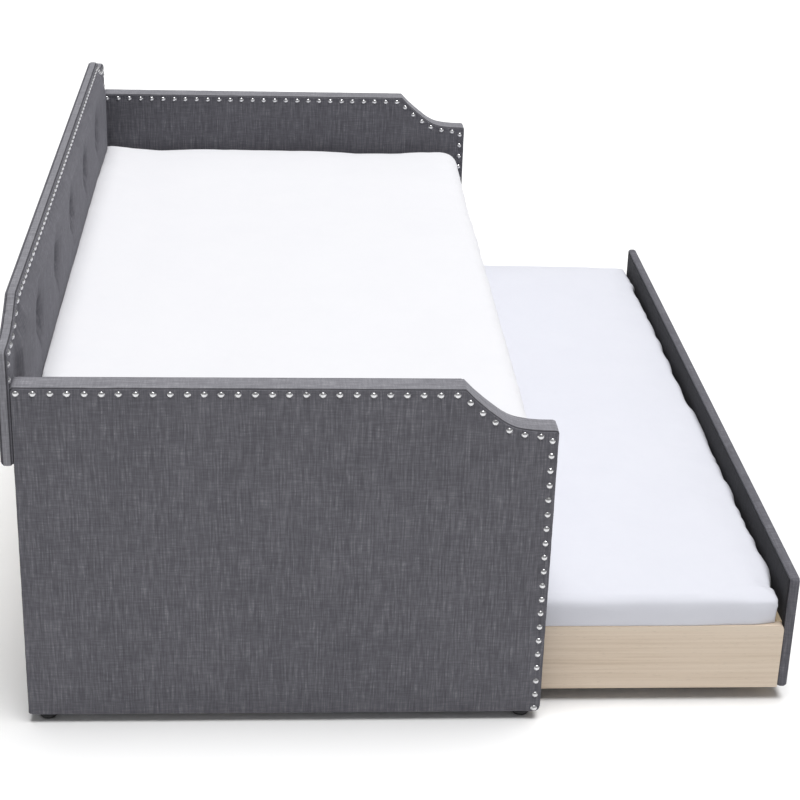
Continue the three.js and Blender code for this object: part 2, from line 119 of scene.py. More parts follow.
class N:
    """Small helper to write node graphs briefly."""

    def __init__(self, nt):
        self.nt = nt

    def node(self, kind, **props):
        n = self.nt.nodes.new(kind)
        for k, v in props.items():
            setattr(n, k, v)
        return n

    def put(self, socket, value):
        if hasattr(value, "is_output") or isinstance(value, bpy.types.NodeSocket):
            self.nt.links.new(value, socket)
        elif value is not None:
            socket.default_value = value

    def math(self, op, a, b=None, c=None, clamp=False):
        n = self.node("ShaderNodeMath", operation=op, use_clamp=clamp)
        self.put(n.inputs[0], a)
        if b is not None:
            self.put(n.inputs[1], b)
        if c is not None:
            self.put(n.inputs[2], c)
        return n.outputs[0]

    def xyz(self, vec):
        n = self.node("ShaderNodeSeparateXYZ")
        self.put(n.inputs[0], vec)
        return n.outputs

    def vec(self, x, y, z):
        n = self.node("ShaderNodeCombineXYZ")
        for s, v in zip(n.inputs, (x, y, z)):
            self.put(s, v)
        return n.outputs[0]

    def noise(self, vec, scale=1.0, detail=2.0, rough=0.5, distort=0.0):
        n = self.node("ShaderNodeTexNoise")
        self.put(n.inputs["Vector"], vec)
        n.inputs["Scale"].default_value = scale
        n.inputs["Detail"].default_value = detail
        n.inputs["Roughness"].default_value = rough
        n.inputs["Distortion"].default_value = distort
        return n.outputs["Fac"] if "Fac" in n.outputs else n.outputs[0]

    def voronoi(self, vec, scale=1.0):
        n = self.node("ShaderNodeTexVoronoi")
        self.put(n.inputs["Vector"], vec)
        n.inputs["Scale"].default_value = scale
        return n.outputs["Distance"]

    def remap(self, v, a, b, c, d, clamp=True):
        n = self.node("ShaderNodeMapRange", clamp=clamp)
        self.put(n.inputs["Value"], v)
        for k, val in zip(("From Min", "From Max", "To Min", "To Max"), (a, b, c, d)):
            n.inputs[k].default_value = val
        return n.outputs[0]

    def ramp(self, v, stops):
        n = self.node("ShaderNodeValToRGB")
        self.put(n.inputs[0], v)
        e = n.color_ramp.elements
        while len(e) < len(stops):
            e.new(0.5)
        for el, (p, c) in zip(e, stops):
            el.position = p
            el.color = (*c, 1)
        return n.outputs[0]

    def mix(self, f, a, b):
        n = self.node("ShaderNodeMix", data_type="RGBA")
        self.put(n.inputs[0], f)
        self.put(n.inputs[6], a if not isinstance(a, tuple) else (*a, 1))
        self.put(n.inputs[7], b if not isinstance(b, tuple) else (*b, 1))
        return n.outputs[2]

    def bump(self, height, strength, distance, normal=None):
        n = self.node("ShaderNodeBump")
        n.inputs["Strength"].default_value = strength
        n.inputs["Distance"].default_value = distance
        self.put(n.inputs["Height"], height)
        if normal is not None:
            self.put(n.inputs["Normal"], normal)
        return n.outputs[0]

    def object_coords(self):
        return self.node("ShaderNodeTexCoord").outputs["Object"]

    def surface_uv(self):
        """Two coordinates that lie in the surface, picked by the way it faces."""
        p = self.xyz(self.object_coords())
        nrm = self.xyz(self.node("ShaderNodeNewGeometry").outputs["Normal"])
        a, b, c = (self.math("ABSOLUTE", nrm[i]) for i in range(3))
        is_x = self.math("MULTIPLY", self.math("GREATER_THAN", a, b), self.math("GREATER_THAN", a, c))
        is_z = self.math("MULTIPLY", self.math("GREATER_THAN", c, b), self.math("GREATER_THAN", c, a))
        not_x = self.math("SUBTRACT", 1.0, is_x)
        not_z = self.math("SUBTRACT", 1.0, is_z)
        u = self.math("ADD", self.math("MULTIPLY", is_x, p[1]), self.math("MULTIPLY", not_x, p[0]))
        v = self.math("ADD", self.math("MULTIPLY", is_z, p[1]), self.math("MULTIPLY", not_z, p[2]))
        # on top faces whose u is X, v is Y
        return u, v, p


def linen(name, base, light, dark, sheen=0.35):
    m, nt, bsdf = new_mat(name)
    g = N(nt)
    u, v, p = g.surface_uv()
    # warp and weft threads, about 1.1 mm apart, wandering a little
    wob = g.noise(g.vec(u, v, 0.0), 40.0, 2.0)
    uu = g.math("ADD", u, g.math("MULTIPLY", wob, 0.0016))
    vv = g.math("ADD", v, g.math("MULTIPLY", wob, 0.0016))
    tu = g.math("SINE", g.math("MULTIPLY", uu, 2 * math.pi / 0.00115))
    tv = g.math("SINE", g.math("MULTIPLY", vv, 2 * math.pi / 0.00125))
    weave = g.math("MULTIPLY", g.math("ADD", tu, tv), 0.25)
    cross = g.math("MULTIPLY", g.math("MULTIPLY", tu, tv), 0.5)
    weave = g.math("ADD", weave, cross)
    # slubs: thicker, lighter or darker yarns running up and across
    s1 = g.noise(g.vec(g.math("MULTIPLY", uu, 330.0), g.math("MULTIPLY", vv, 21.0), 3.1), 1.0, 2.0, 0.6)
    s2 = g.noise(g.vec(g.math("MULTIPLY", uu, 42.0), g.math("MULTIPLY", vv, 330.0), 7.7), 1.0, 2.0, 0.6)
    s3 = g.noise(g.vec(g.math("MULTIPLY", uu, 190.0), g.math("MULTIPLY", vv, 9.0), 1.4), 1.0, 2.0, 0.5)
    s4 = g.noise(g.vec(g.math("MULTIPLY", uu, 14.0), g.math("MULTIPLY", vv, 210.0), 5.2), 1.0, 2.0, 0.5)
    fleck = g.noise(g.vec(uu, vv, 0.4), 900.0, 2.0, 0.7)
    cloud = g.noise(p[0].node.inputs[0].links[0].from_socket, 6.0, 3.0, 0.5)
    up = g.remap(s1, 0.34, 0.68, -0.8, 1.0)
    across = g.remap(s2, 0.36, 0.68, -0.7, 1.0)
    up2 = g.remap(s3, 0.32, 0.70, -1.0, 1.0)
    across2 = g.remap(s4, 0.32, 0.70, -1.0, 1.0)
    knot = g.math("MULTIPLY", g.remap(s1, 0.60, 0.70, 0.0, 1.0), g.remap(s2, 0.50, 0.62, 0.0, 1.0))
    fl = g.remap(fleck, 0.25, 0.75, -1.0, 1.0)
    cl = g.remap(cloud, 0.3, 0.7, -1.0, 1.0)
    t = g.math("MULTIPLY", up, 0.20)
    for val, k in ((across, 0.10), (up2, 0.08), (across2, 0.04), (fl, 0.11), (cl, 0.035), (weave, 0.09), (knot, 0.20)):
        t = g.math("ADD", t, g.math("MULTIPLY", val, k))
    f = g.math("ADD", t, 0.47, clamp=True)
    col = g.ramp(f, [(0.0, dark), (0.5, base), (1.0, light)])
    nt.links.new(col, bsdf.inputs["Base Color"])
    rough = g.remap(fl, -1.0, 1.0, 0.82, 0.96)
    nt.links.new(rough, bsdf.inputs["Roughness"])
    bsdf.inputs["Sheen Weight"].default_value = sheen
    bsdf.inputs["Sheen Roughness"].default_value = 0.38
    bsdf.inputs["Sheen Tint"].default_value = (0.9, 0.9, 1.0, 1)
    bsdf.inputs["Specular IOR Level"].default_value = 0.25
    h = g.math("ADD", g.math("MULTIPLY", weave, 0.5), g.math("MULTIPLY", g.math("ADD", up, across), 0.5))
    nt.links.new(g.bump(h, 0.55, 0.00035), bsdf.inputs["Normal"])
    return m


def cotton(name, base, shade):
    m, nt, bsdf = new_mat(name)
    g = N(nt)
    u, v, p = g.surface_uv()
    obj = p[0].node.inputs[0].links[0].from_socket
    tu = g.math("SINE", g.math("MULTIPLY", u, 2 * math.pi / 0.0008))
    tv = g.math("SINE", g.math("MULTIPLY", v, 2 * math.pi / 0.0008))
    weave = g.math("MULTIPLY", tu, tv)
    soft = g.noise(obj, 9.0, 4.0, 0.55, 0.3)
    fine = g.noise(obj, 60.0, 3.0, 0.6, 0.6)
    crease = g.noise(obj, 26.0, 2.0, 0.5, 1.6)
    f = g.math("ADD", g.math("MULTIPLY", soft, 0.6), g.math("MULTIPLY", fine, 0.4), clamp=True)
    nt.links.new(g.ramp(f, [(0.25, shade), (0.62, base)]), bsdf.inputs["Base Color"])
    nt.links.new(g.remap(fine, 0.2, 0.8, 0.78, 0.92), bsdf.inputs["Roughness"])
    bsdf.inputs["Sheen Weight"].default_value = 0.2
    bsdf.inputs["Sheen Roughness"].default_value = 0.5
    bsdf.inputs["Specular IOR Level"].default_value = 0.2
    n1 = g.bump(g.math("ADD", g.math("MULTIPLY", fine, 0.35), g.math("MULTIPLY", crease, 0.6)), 0.25, 0.0016)
    nt.links.new(g.bump(weave, 0.25, 0.0002, n1), bsdf.inputs["Normal"])
    return m


def wood(name, axis, light, mid, dark, seed=0.0, rough=(0.48, 0.62), ring=1.0):
    """Straight-grained wood; axis is the way the grain runs."""
    m, nt, bsdf = new_mat(name)
    g = N(nt)
    obj = g.object_coords()
    p = g.xyz(obj)
    along = {"X": p[0], "Y": p[1], "Z": p[2]}[axis]
    o1, o2 = [p[i] for i in range(3) if "XYZ"[i] != axis]
    # boards differ: shift the pattern by where the board is
    warp = g.noise(g.vec(g.math("MULTIPLY", along, 0.5), g.math("MULTIPLY", o1, 6.0), g.math("ADD", g.math("MULTIPLY", o2, 6.0), seed)), 1.0, 2.0, 0.5)
    a = g.math("ADD", g.math("MULTIPLY", o1, 34.0 * ring), g.math("MULTIPLY", warp, 2.2))
    b = g.math("ADD", g.math("MULTIPLY", o2, 34.0 * ring), g.math("MULTIPLY", warp, 2.2))
    rings = g.noise(g.vec(g.math("MULTIPLY", along, 0.35), a, b), 1.0, 2.0, 0.45)
    fine = g.noise(g.vec(g.math("MULTIPLY", along, 9.0), g.math("MULTIPLY", o1, 620.0), g.math("MULTIPLY", o2, 620.0)), 1.0, 3.0, 0.6)
    fibre = g.noise(g.vec(g.math("MULTIPLY", along, 26.0), g.math("MULTIPLY", o1, 1500.0), g.math("MULTIPLY", o2, 1500.0)), 1.0, 2.0, 0.6)
    pores = g.noise(g.vec(g.math("MULTIPLY", along, 60.0), g.math("MULTIPLY", o1, 1100.0), g.math("MULTIPLY", o2, 1100.0)), 1.0, 1.0, 0.5)
    band = g.math("FRACT", g.math("MULTIPLY", rings, 5.0))
    late = g.math("POWER", band, 2.4)
    t = g.math("ADD", g.math("MULTIPLY", late, 0.20), g.math("MULTIPLY", g.remap(fine, 0.3, 0.7, 0.0, 1.0), 0.28))
    streak = g.noise(g.vec(g.math("MULTIPLY", along, 2.0), g.math("MULTIPLY", o1, 150.0), g.math("MULTIPLY", g.math("ADD", o2, seed), 150.0)), 1.0, 3.0, 0.6)
    tone = g.noise(g.vec(g.math("MULTIPLY", along, 1.6), g.math("MULTIPLY", o1, 22.0), g.math("MULTIPLY", g.math("ADD", o2, seed), 22.0)), 1.0, 2.0, 0.5)
    t = g.math("ADD", t, g.math("MULTIPLY", g.remap(fibre, 0.3, 0.7, 0.0, 1.0), 0.11))
    t = g.math("ADD", t, g.math("MULTIPLY", g.remap(streak, 0.34, 0.68, -0.35, 0.55), 0.62))
    t = g.math("ADD", t, g.math("MULTIPLY", g.remap(tone, 0.3, 0.7, -0.5, 0.5), 0.46), clamp=True)
    col = g.ramp(t, [(0.05, light), (0.5, mid), (0.98, dark)])
    pore = g.remap(pores, 0.66, 0.78, 0.0, 0.35)
    col = g.mix(pore, col, tuple(c * 0.55 for c in dark))
    nt.links.new(col, bsdf.inputs["Base Color"])
    nt.links.new(g.remap(t, 0.0, 1.0, rough[0], rough[1]), bsdf.inputs["Roughness"])
    bsdf.inputs["Specular IOR Level"].default_value = 0.35
    nt.links.new(g.bump(g.math("ADD", g.math("MULTIPLY", fine, 0.7), fibre), 0.25, 0.00025), bsdf.inputs["Normal"])
    return m


def board(name):
    """Raw engineered board: pressed chips."""
    m, nt, bsdf = new_mat(name)
    g = N(nt)
    obj = g.object_coords()
    v = g.voronoi(obj, 210.0)
    n = g.noise(obj, 480.0, 3.0, 0.6)
    t = g.math("ADD", g.math("MULTIPLY", v, 0.9), g.math("MULTIPLY", n, 0.45), clamp=True)
    nt.links.new(g.ramp(t, [(0.15, (0.20, 0.12, 0.065)), (0.5, (0.42, 0.29, 0.17)), (0.9, (0.58, 0.44, 0.28))]), bsdf.inputs["Base Color"])
    nt.links.new(g.remap(n, 0.3, 0.7, 0.75, 0.95), bsdf.inputs["Roughness"])
    nt.links.new(g.bump(t, 0.4, 0.0004), bsdf.inputs["Normal"])
    return m


def metal(name, base, rough=(0.14, 0.3), scale=90.0, bump=0.0002, spangle=False):
    m, nt, bsdf = new_mat(name)
    g = N(nt)
    obj = g.object_coords()
    n = g.noise(obj, scale, 4.0, 0.6)
    if spangle:
        n2 = g.voronoi(obj, 160.0)
        n = g.math("ADD", g.math("MULTIPLY", n, 0.6), g.math("MULTIPLY", n2, 0.5), clamp=True)
    fine = g.noise(obj, scale * 14, 2.0, 0.6)
    nt.links.new(g.ramp(n, [(0.3, tuple(c * 0.82 for c in base)), (0.7, base)]), bsdf.inputs["Base Color"])
    bsdf.inputs["Metallic"].default_value = 1.0
    nt.links.new(g.remap(n, 0.3, 0.7, rough[0], rough[1]), bsdf.inputs["Roughness"])
    nt.links.new(g.bump(fine, 0.2, bump), bsdf.inputs["Normal"])
    return m


def plastic(name, base, hi, rough=(0.42, 0.6), scale=700.0):
    m, nt, bsdf = new_mat(name)
    g = N(nt)
    obj = g.object_coords()
    n = g.noise(obj, scale, 3.0, 0.6)
    big = g.noise(obj, 40.0, 3.0, 0.5)
    f = g.math("ADD", g.math("MULTIPLY", n, 0.4), g.math("MULTIPLY", big, 0.6), clamp=True)
    nt.links.new(g.ramp(f, [(0.3, base), (0.75, hi)]), bsdf.inputs["Base Color"])
    nt.links.new(g.remap(f, 0.3, 0.7, rough[0], rough[1]), bsdf.inputs["Roughness"])
    nt.links.new(g.bump(n, 0.25, 0.0002), bsdf.inputs["Normal"])
    return m


M = {
    "linen": linen("grey_linen", (0.124, 0.122, 0.139), (0.226, 0.223, 0.246), (0.064, 0.063, 0.074), 0.12),
    # painted light: the strips sewn in round the edges use a lighter copy of the grey linen, which stands in for the
    # stronger light that falls on the tops and scoops
    "gusset": linen("grey_linen_edge_strip_painted_light", (0.218, 0.216, 0.237), (0.345, 0.342, 0.366), (0.132, 0.130, 0.145), 0.2),
    # painted shade: a darker copy of the linen for the narrow bands beside each edge strip, standing in for the shadow
    # in the seam fold
    "seam": linen("grey_linen_seam_painted_shade", (0.060, 0.059, 0.067), (0.088, 0.086, 0.096), (0.036, 0.035, 0.041), 0.05),
    # painted shade: a near-black copy of the linen for the trundle front's inside face, standing in for the shade there
    "charcoal": linen("charcoal_linen_painted_shade", (0.026, 0.026, 0.029), (0.055, 0.055, 0.060), (0.012, 0.012, 0.014), 0.05),
    "sheet": cotton("white_bedding", (0.765, 0.765, 0.792), (0.748, 0.750, 0.780)),
    "sheet2": cotton("white_trundle_bedding", (0.670, 0.678, 0.735), (0.650, 0.658, 0.718)),
    "birch": wood("birch_rail", "Y", (0.715, 0.605, 0.490), (0.665, 0.550, 0.435), (0.545, 0.430, 0.322), 2.0),
    "pine_x": wood("pine_along_x", "X", (0.74, 0.60, 0.42), (0.66, 0.51, 0.33), (0.50, 0.35, 0.20), 4.0, ring=0.7),
    "slat_y": wood("poplar_slat", "Y", (0.78, 0.66, 0.49), (0.71, 0.58, 0.40), (0.57, 0.43, 0.27), 9.0, ring=0.6),
    "board": board("engineered_board"),
    "nickel": metal("polished_nickel", (0.75, 0.75, 0.765), (0.20, 0.34)),
    "zinc": metal("zinc_plate", (0.62, 0.63, 0.66), (0.28, 0.48), 60.0, 0.0003, spangle=True),
    "black": plastic("black_glide", (0.012, 0.012, 0.013), (0.03, 0.03, 0.032)),
    "nylon": plastic("grey_nylon", (0.05, 0.05, 0.054), (0.09, 0.09, 0.095), (0.35, 0.5)),
}


# ------------------------------------------------------------------ mesh helpers
def make_object(name, verts, faces, mat, smooth_shade=True, angle=None, second=None, second_faces=None, third=None):
    me = bpy.data.meshes.new(name)
    me.from_pydata([tuple(v) for v in verts], [], [tuple(f) for f in faces])
    if second is not None:
        me.polygons.foreach_set("material_index", np.array(second_faces, dtype=np.int32))
    me.validate()
    bm = bmesh.new()
    bm.from_mesh(me)
    bmesh.ops.remove_doubles(bm, verts=bm.verts, dist=1e-6)
    bmesh.ops.recalc_face_normals(bm, faces=bm.faces)
    bm.to_mesh(me)
    bm.free()
    me.materials.append(mat)
    if second is not None:
        me.materials.append(second)
    if third is not None:
        me.materials.append(third)
    if smooth_shade:
        me.shade_smooth()
    ob = bpy.data.objects.new(name, me)
    scene.collection.objects.link(ob)
    if angle:
        sharpen(ob, angle)
    return ob


def sharpen(ob, degrees):
    """Marks edges sharper than this as sharp, so smooth shading keeps them crisp."""
    bm = bmesh.new()
    bm.from_mesh(ob.data)
    lim = math.radians(degrees)
    for e in bm.edges:
        if len(e.link_faces) == 2 and e.calc_face_angle(0) > lim:
            e.smooth = False
    bm.to_mesh(ob.data)
    bm.free()


def lathe(profile, segments):
    """Vertices and faces of a closed solid of revolution about Z; the profile starts and ends on the axis."""
    verts, faces = [], []
    rings = []
    for r, z in profile:
        if r < 1e-7:
            rings.append([len(verts)])
            verts.append((0, 0, z))
        else:
            rings.append(list(range(len(verts), len(verts) + segments)))
            for k in range(segments):
                a = 2 * math.pi * k / segments
                verts.append((r * math.cos(a), r * math.sin(a), z))
    for A, B in zip(rings, rings[1:]):
        for k in range(segments):
            k2 = (k + 1) % segments
            if len(A) == 1 and len(B) == 1:
                continue
            if len(A) == 1:
                faces.append((A[0], B[k2], B[k]))
            elif len(B) == 1:
                faces.append((A[k], A[k2], B[0]))
            else:
                faces.append((A[k], A[k2], B[k2], B[k]))
    return np.array(verts, float), faces


def catmull(points, per=6):
    P = [np.array(p, float) for p in points]
    P = [2 * P[0] - P[1]] + P + [2 * P[-1] - P[-2]]
    out = []
    for i in range(1, len(P) - 2):
        for k in range(per):
            t = k / per
            out.append(0.5 * ((2 * P[i]) + (P[i + 1] - P[i - 1]) * t
                              + (2 * P[i - 1] - 5 * P[i] + 4 * P[i + 1] - P[i + 2]) * t * t
                              + (3 * P[i] - P[i - 1] - 3 * P[i + 1] + P[i + 2]) * t ** 3))
    out.append(P[-2])
    return [tuple(p) for p in out]


def inset(points, d):
    n = len(points)
    lines = []
    for i, p in enumerate(points):
        q = points[(i + 1) % n]
        dx, dy = q[0] - p[0], q[1] - p[1]
        ln = math.hypot(dx, dy)
        nx, ny = -dy / ln, dx / ln
        lines.append((nx, ny, nx * p[0] + ny * p[1] + d))
    out = []
    for i in range(n):
        a, b = lines[i - 1], lines[i]
        det = a[0] * b[1] - a[1] * b[0]
        if abs(det) < 1e-6:
            out.append((b[0] * d + points[i][0], b[1] * d + points[i][1]))
        else:
            out.append(((a[2] * b[1] - b[2] * a[1]) / det, (a[0] * b[2] - b[0] * a[2]) / det))
    return out


def along_path(path, pitch=NAIL_PITCH):
    P = [np.array(p, float) for p in path]
    lens = [np.linalg.norm(b - a) for a, b in zip(P, P[1:])]
    total = sum(lens)
    count = round(total / pitch)
    out = []
    for k in range(count + 1):
        s, i = min(total * k / count, total - 1e-9), 0
        while s > lens[i]:
            s -= lens[i]
            i += 1
        out.append(P[i] + (P[i + 1] - P[i]) * (s / lens[i]))
    return np.array(out)


def arc(cx, cy, r, a0, a1, n=5):
    return [(cx + r * math.cos(math.radians(a0 + (a1 - a0) * k / n)), cy + r * math.sin(math.radians(a0 + (a1 - a0) * k / n))) for k in range(n + 1)]


def resample(segments, step):
    """Joins open polylines end to end into one closed ring with points about `step` apart, keeping every segment's ends."""
    ring = []
    for seg in segments:
        P = np.array(seg, float)
        L = np.r_[0, np.cumsum(np.linalg.norm(np.diff(P, axis=0), axis=1))]
        n = max(1, int(round(L[-1] / step)))
        s = np.linspace(0, L[-1], n + 1)[:-1]
        ring += list(zip(np.interp(s, L, P[:, 0]), np.interp(s, L, P[:, 1])))
    return np.array(ring)


def distance_to_ring(pts, ring):
    A, B = ring, np.roll(ring, -1, axis=0)
    out = np.empty(len(pts))
    AB = B - A
    L2 = (AB ** 2).sum(1)
    for i in range(0, len(pts), 2000):
        P = pts[i:i + 2000]
        AP = P[:, None, :] - A[None]
        t = np.clip((AP * AB[None]).sum(2) / L2[None], 0, 1)
        D = AP - t[..., None] * AB[None]
        out[i:i + 2000] = np.sqrt((D ** 2).sum(2)).min(1)
    return out


def inside_ring(pts, ring):
    x, y = pts[:, 0], pts[:, 1]
    inside = np.zeros(len(pts), bool)
    for (x1, y1), (x2, y2) in zip(ring, np.roll(ring, -1, axis=0)):
        c = (y1 > y) != (y2 > y)
        xi = (x2 - x1) * (y - y1) / ((y2 - y1) if abs(y2 - y1) > 1e-12 else 1e-12) + x1
        inside ^= c & (x < xi)
    return inside


def panel(name, segments, thick, place, mat, face_h, r=0.003, step=0.005, grid=0.010,
          rings=(0.0012, 0.0026, 0.0045, 0.007, 0.0095, 0.012, 0.0145, 0.017, 0.020, 0.025),
          rows=(0.0022, 0.0046, 0.009), seam=0.0030, gusset=None, extra=None, strip=None):
    """An upholstered board. segments: its outline as open polylines, counter-clockwise in (a, b). face_h(side, a, b, d) is how far
    each face stands proud, d metres in from the edge. place((a, b, c)) puts a point of the sketch into the row frame."""
    ring = resample(segments, step)
    n = len(ring)
    nxt, prv = np.roll(ring, -1, axis=0), np.roll(ring, 1, axis=0)
    e1 = nxt - ring
    e0 = ring - prv
    e1 /= np.linalg.norm(e1, axis=1)[:, None]
    e0 /= np.linalg.norm(e0, axis=1)[:, None]
    t = e0 + e1
    t /= np.linalg.norm(t, axis=1)[:, None] + 1e-9
    out_n = np.c_[t[:, 1], -t[:, 0]]                     # outward
    pts = [ring]
    for d in rings:
        q = ring - out_n * d
        keep = distance_to_ring(q, ring) > d * 0.93
        pts.append(q[keep])
    lo, hi = ring.min(0), ring.max(0)
    gx, gy = np.meshgrid(np.arange(lo[0] + grid / 2, hi[0], grid), np.arange(lo[1] + grid / 2, hi[1], grid))
    gp = np.c_[gx.ravel(), gy.ravel()]
    gp = gp[inside_ring(gp, ring)]
    gp = gp[distance_to_ring(gp, ring) > rings[-1] + grid * 0.6]
    if extra is not None:
        for cx, cy, rad, fine in extra:              # finer points round a feature
            gp = gp[(gp[:, 0] - cx) ** 2 + (gp[:, 1] - cy) ** 2 > rad ** 2]
            fx, fy = np.meshgrid(np.arange(cx - rad, cx + rad, fine), np.arange(cy - rad, cy + rad, fine))
            fp = np.c_[fx.ravel(), fy.ravel()]
            fp = fp[(fp[:, 0] - cx) ** 2 + (fp[:, 1] - cy) ** 2 < (rad - fine * 0.4) ** 2]
            fp = fp[inside_ring(fp, ring)]
            fp = fp[distance_to_ring(fp, ring) > rings[-1] + fine * 0.5]
            gp = np.r_[gp, fp]
    pts.append(gp)
    P = np.concatenate(pts)
    edges = [(i, (i + 1) % n) for i in range(n)]
    res = delaunay_2d_cdt([Vector(p) for p in P], edges, [], 1, 1e-7)
    V2 = np.array([tuple(v) for v in res[0]])
    tris = [tuple(f) for f in res[2]]
    orig = res[3]
    where = {}
    for i, o in enumerate(orig):
        for k in o:
            where[k] = i
    d = distance_to_ring(V2, ring)
    rim = np.array([where[i] for i in range(n)])
    d[rim] = 0
    dd = np.clip(d, 0, r)
    prof = -r + np.sqrt(np.maximum(r * r - (r - dd) ** 2, 0))
    verts, faces = [], []
    base = {}
    for side in (1, -1):
        h = face_h(side, V2[:, 0], V2[:, 1], d)
        h = h * smooth(d / 0.004)
        c = side * (thick / 2 + prof + h)
        xy = V2.copy()
        xy[rim] -= out_n * seam                          # the seam sinks in
        base[side] = len(verts)
        verts += [(x, y, z) for (x, y), z in zip(xy, c)]
        off = base[side]
        for f in tris:
            faces.append(tuple(off + k for k in (f if side > 0 else f[::-1])))
    # the strip between the two faces
    on_face = len(faces)
    half = thick / 2 - r
    levels = [half - q for q in rows if q < half - 0.0005]
    inner = np.linspace(levels[-1], -levels[-1], 7)[1:-1]
    levels = levels + list(inner) + [-q for q in levels[::-1]]
    s = np.r_[0, np.cumsum(np.linalg.norm(np.diff(ring, axis=0), axis=1))]
    prev = [base[1] + k for k in rim]
    for lv in levels:
        crown = 0.0006 * (1 - (lv / half) ** 2)
        g = crown + 0.00025 * vnoise(s * 60, lv * 200, None, 5)
        if gusset is not None:
            g = g + gusset(s, lv, ring)
        q = ring + out_n * g[:, None] if np.ndim(g) else ring + out_n * g
        idx = list(range(len(verts), len(verts) + n))
        verts += [(x, y, lv) for x, y in q]
        for i in range(n):
            j = (i + 1) % n
            faces.append((prev[i], idx[i], idx[j], prev[j]))
        prev = idx
    last = [base[-1] + k for k in rim]
    for i in range(n):
        j = (i + 1) % n
        faces.append((prev[i], last[i], last[j], prev[j]))
    verts = [place(v) for v in verts]
    # 0 the faces, 1 the strip (the lighter linen, painted light), 2 the turned-in seam allowance at either side of the
    # strip, given the darker seam linen as painted shade for the shadow in the seam fold
    which = [0] * on_face + [2] * n + [1] * (len(faces) - on_face - 2 * n) + [2] * n
    return make_object(name, verts, faces, mat, second=strip, second_faces=which, third=M["seam"] if strip is not None else None)


NAIL_PROFILE = [(0, 0.0041), (0.0010, 0.00405), (0.0021, 0.00385), (0.0032, 0.0034), (0.0042, 0.00275), (0.0051, 0.0019),
                (0.0058, 0.0011), (0.0063, 0.0005), (0.0068, 0.00022), (0.0070, 0.00002), (0.0069, -0.0006), (0, -0.0006)]


def nails(name, points, normals, mat, seed):
    """Nail heads at points, facing along normals, each a little different, as one piece."""
    rng = np.random.default_rng(seed)
    V, F = lathe(NAIL_PROFILE, 20)
    verts, faces = [], []
    for p, nrm in zip(points, normals):
        z = np.array(nrm, float) + rng.normal(0, 0.035, 3)
        z /= np.linalg.norm(z)
        x = np.cross(z, [0.3, 0.9, 0.31])
        x /= np.linalg.norm(x)
        y = np.cross(z, x)
        a = rng.uniform(0, 2 * math.pi)
        x, y = x * math.cos(a) + y * math.sin(a), -x * math.sin(a) + y * math.cos(a)
        k = 1.04 + rng.normal(0, 0.012)
        R = np.stack([x, y, z])
        off = len(verts)
        verts += list(np.array(p) + (V * k) @ R)
        faces += [tuple(off + i for i in f) for f in F]
    me = bpy.data.meshes.new(name)
    me.from_pydata([tuple(v) for v in verts], [], faces)
    bm = bmesh.new()
    bm.from_mesh(me)
    bmesh.ops.recalc_face_normals(bm, faces=bm.faces)
    bm.to_mesh(me)
    bm.free()
    me.materials.append(mat)
    me.shade_smooth()
    ob = bpy.data.objects.new(name, me)
    scene.collection.objects.link(ob)
    sharpen(ob, 50)
    return ob


# ------------------------------------------------------------------ arms
def arm_plain():
    pts = [(0, ARM_BOTTOM), (ARM_D, ARM_BOTTOM)]
    cusp = ARM_D - SCALLOP
    pts += [(cusp + a * SCALLOP, ARM_TOP - b * (ARM_TOP - SHOULDER)) for a, b in reversed(SCOOP)]
    pts.append((0, ARM_TOP))
    return pts


def arm_segments():
    cusp = ARM_D - SCALLOP
    scoop = [(cusp + a * SCALLOP, ARM_TOP - b * (ARM_TOP - SHOULDER)) for a, b in SCOOP]
    scoop = catmull(scoop)[::-1]                         # ledge to cusp
    c = 0.005
    scoop = [p for p in scoop if p[0] < ARM_D - c - 0.0005]
    return [
        [(0.003, ARM_BOTTOM), (ARM_D - 0.012, ARM_BOTTOM)],
        arc(ARM_D - 0.012, ARM_BOTTOM + 0.012, 0.012, -90, 0),
        [(ARM_D, ARM_BOTTOM + 0.012), (ARM_D, SHOULDER - c)],
        arc(ARM_D - c, SHOULDER - c, c, 0, 90),
        [(ARM_D - c, SHOULDER)] + scoop,
        [(cusp, ARM_TOP), (0.004, ARM_TOP)],
        arc(0.004, ARM_TOP - 0.004, 0.004, 90, 180, 3),
        [(0, ARM_TOP - 0.004), (0, ARM_BOTTOM + 0.003)],
        arc(0.003, ARM_BOTTOM + 0.003, 0.003, 180, 270, 3),
    ]


def arm_nail_line():
    p = inset(arm_plain(), TRIM_INSET)[1:]
    p[0] = (p[0][0], ARM_BOTTOM + 0.008)
    p[-1] = (0.010, p[-1][1])
    return along_path(p)


ARM_NAILS = arm_nail_line()


def nearest(a, b, pts):
    out = np.full(len(a), 9.0)
    for x, y in pts:
        out = np.minimum(out, (a - x) ** 2 + (b - y) ** 2)
    return np.sqrt(out)


def arm_face(seed):
    def h(side, a, b, d):
        rho = nearest(a, b, ARM_NAILS)
        s = seed + (0 if side > 0 else 50)
        out = 0.0022 * smooth((d - 0.016) / 0.05)
        out = out - 0.0013 * np.exp(-((d - TRIM_INSET) / 0.0065) ** 2) * smooth(1 - (np.abs(b - ARM_BOTTOM) < 0.03))
        out = out - 0.0013 * np.exp(-(rho / 0.0085) ** 2)
        out = out + 0.0007 * fbm(a * 3.1, b * 3.1, None, 3, s) + 0.00022 * fbm(a * 22, b * 22, None, 2, s + 3)
        # faint pulls that run in from the nails
        out = out + 0.00035 * vnoise(a * 38, b * 4, None, s + 7) * np.exp(-np.maximum(d - 0.015, 0) / 0.03)
        return out
    return h


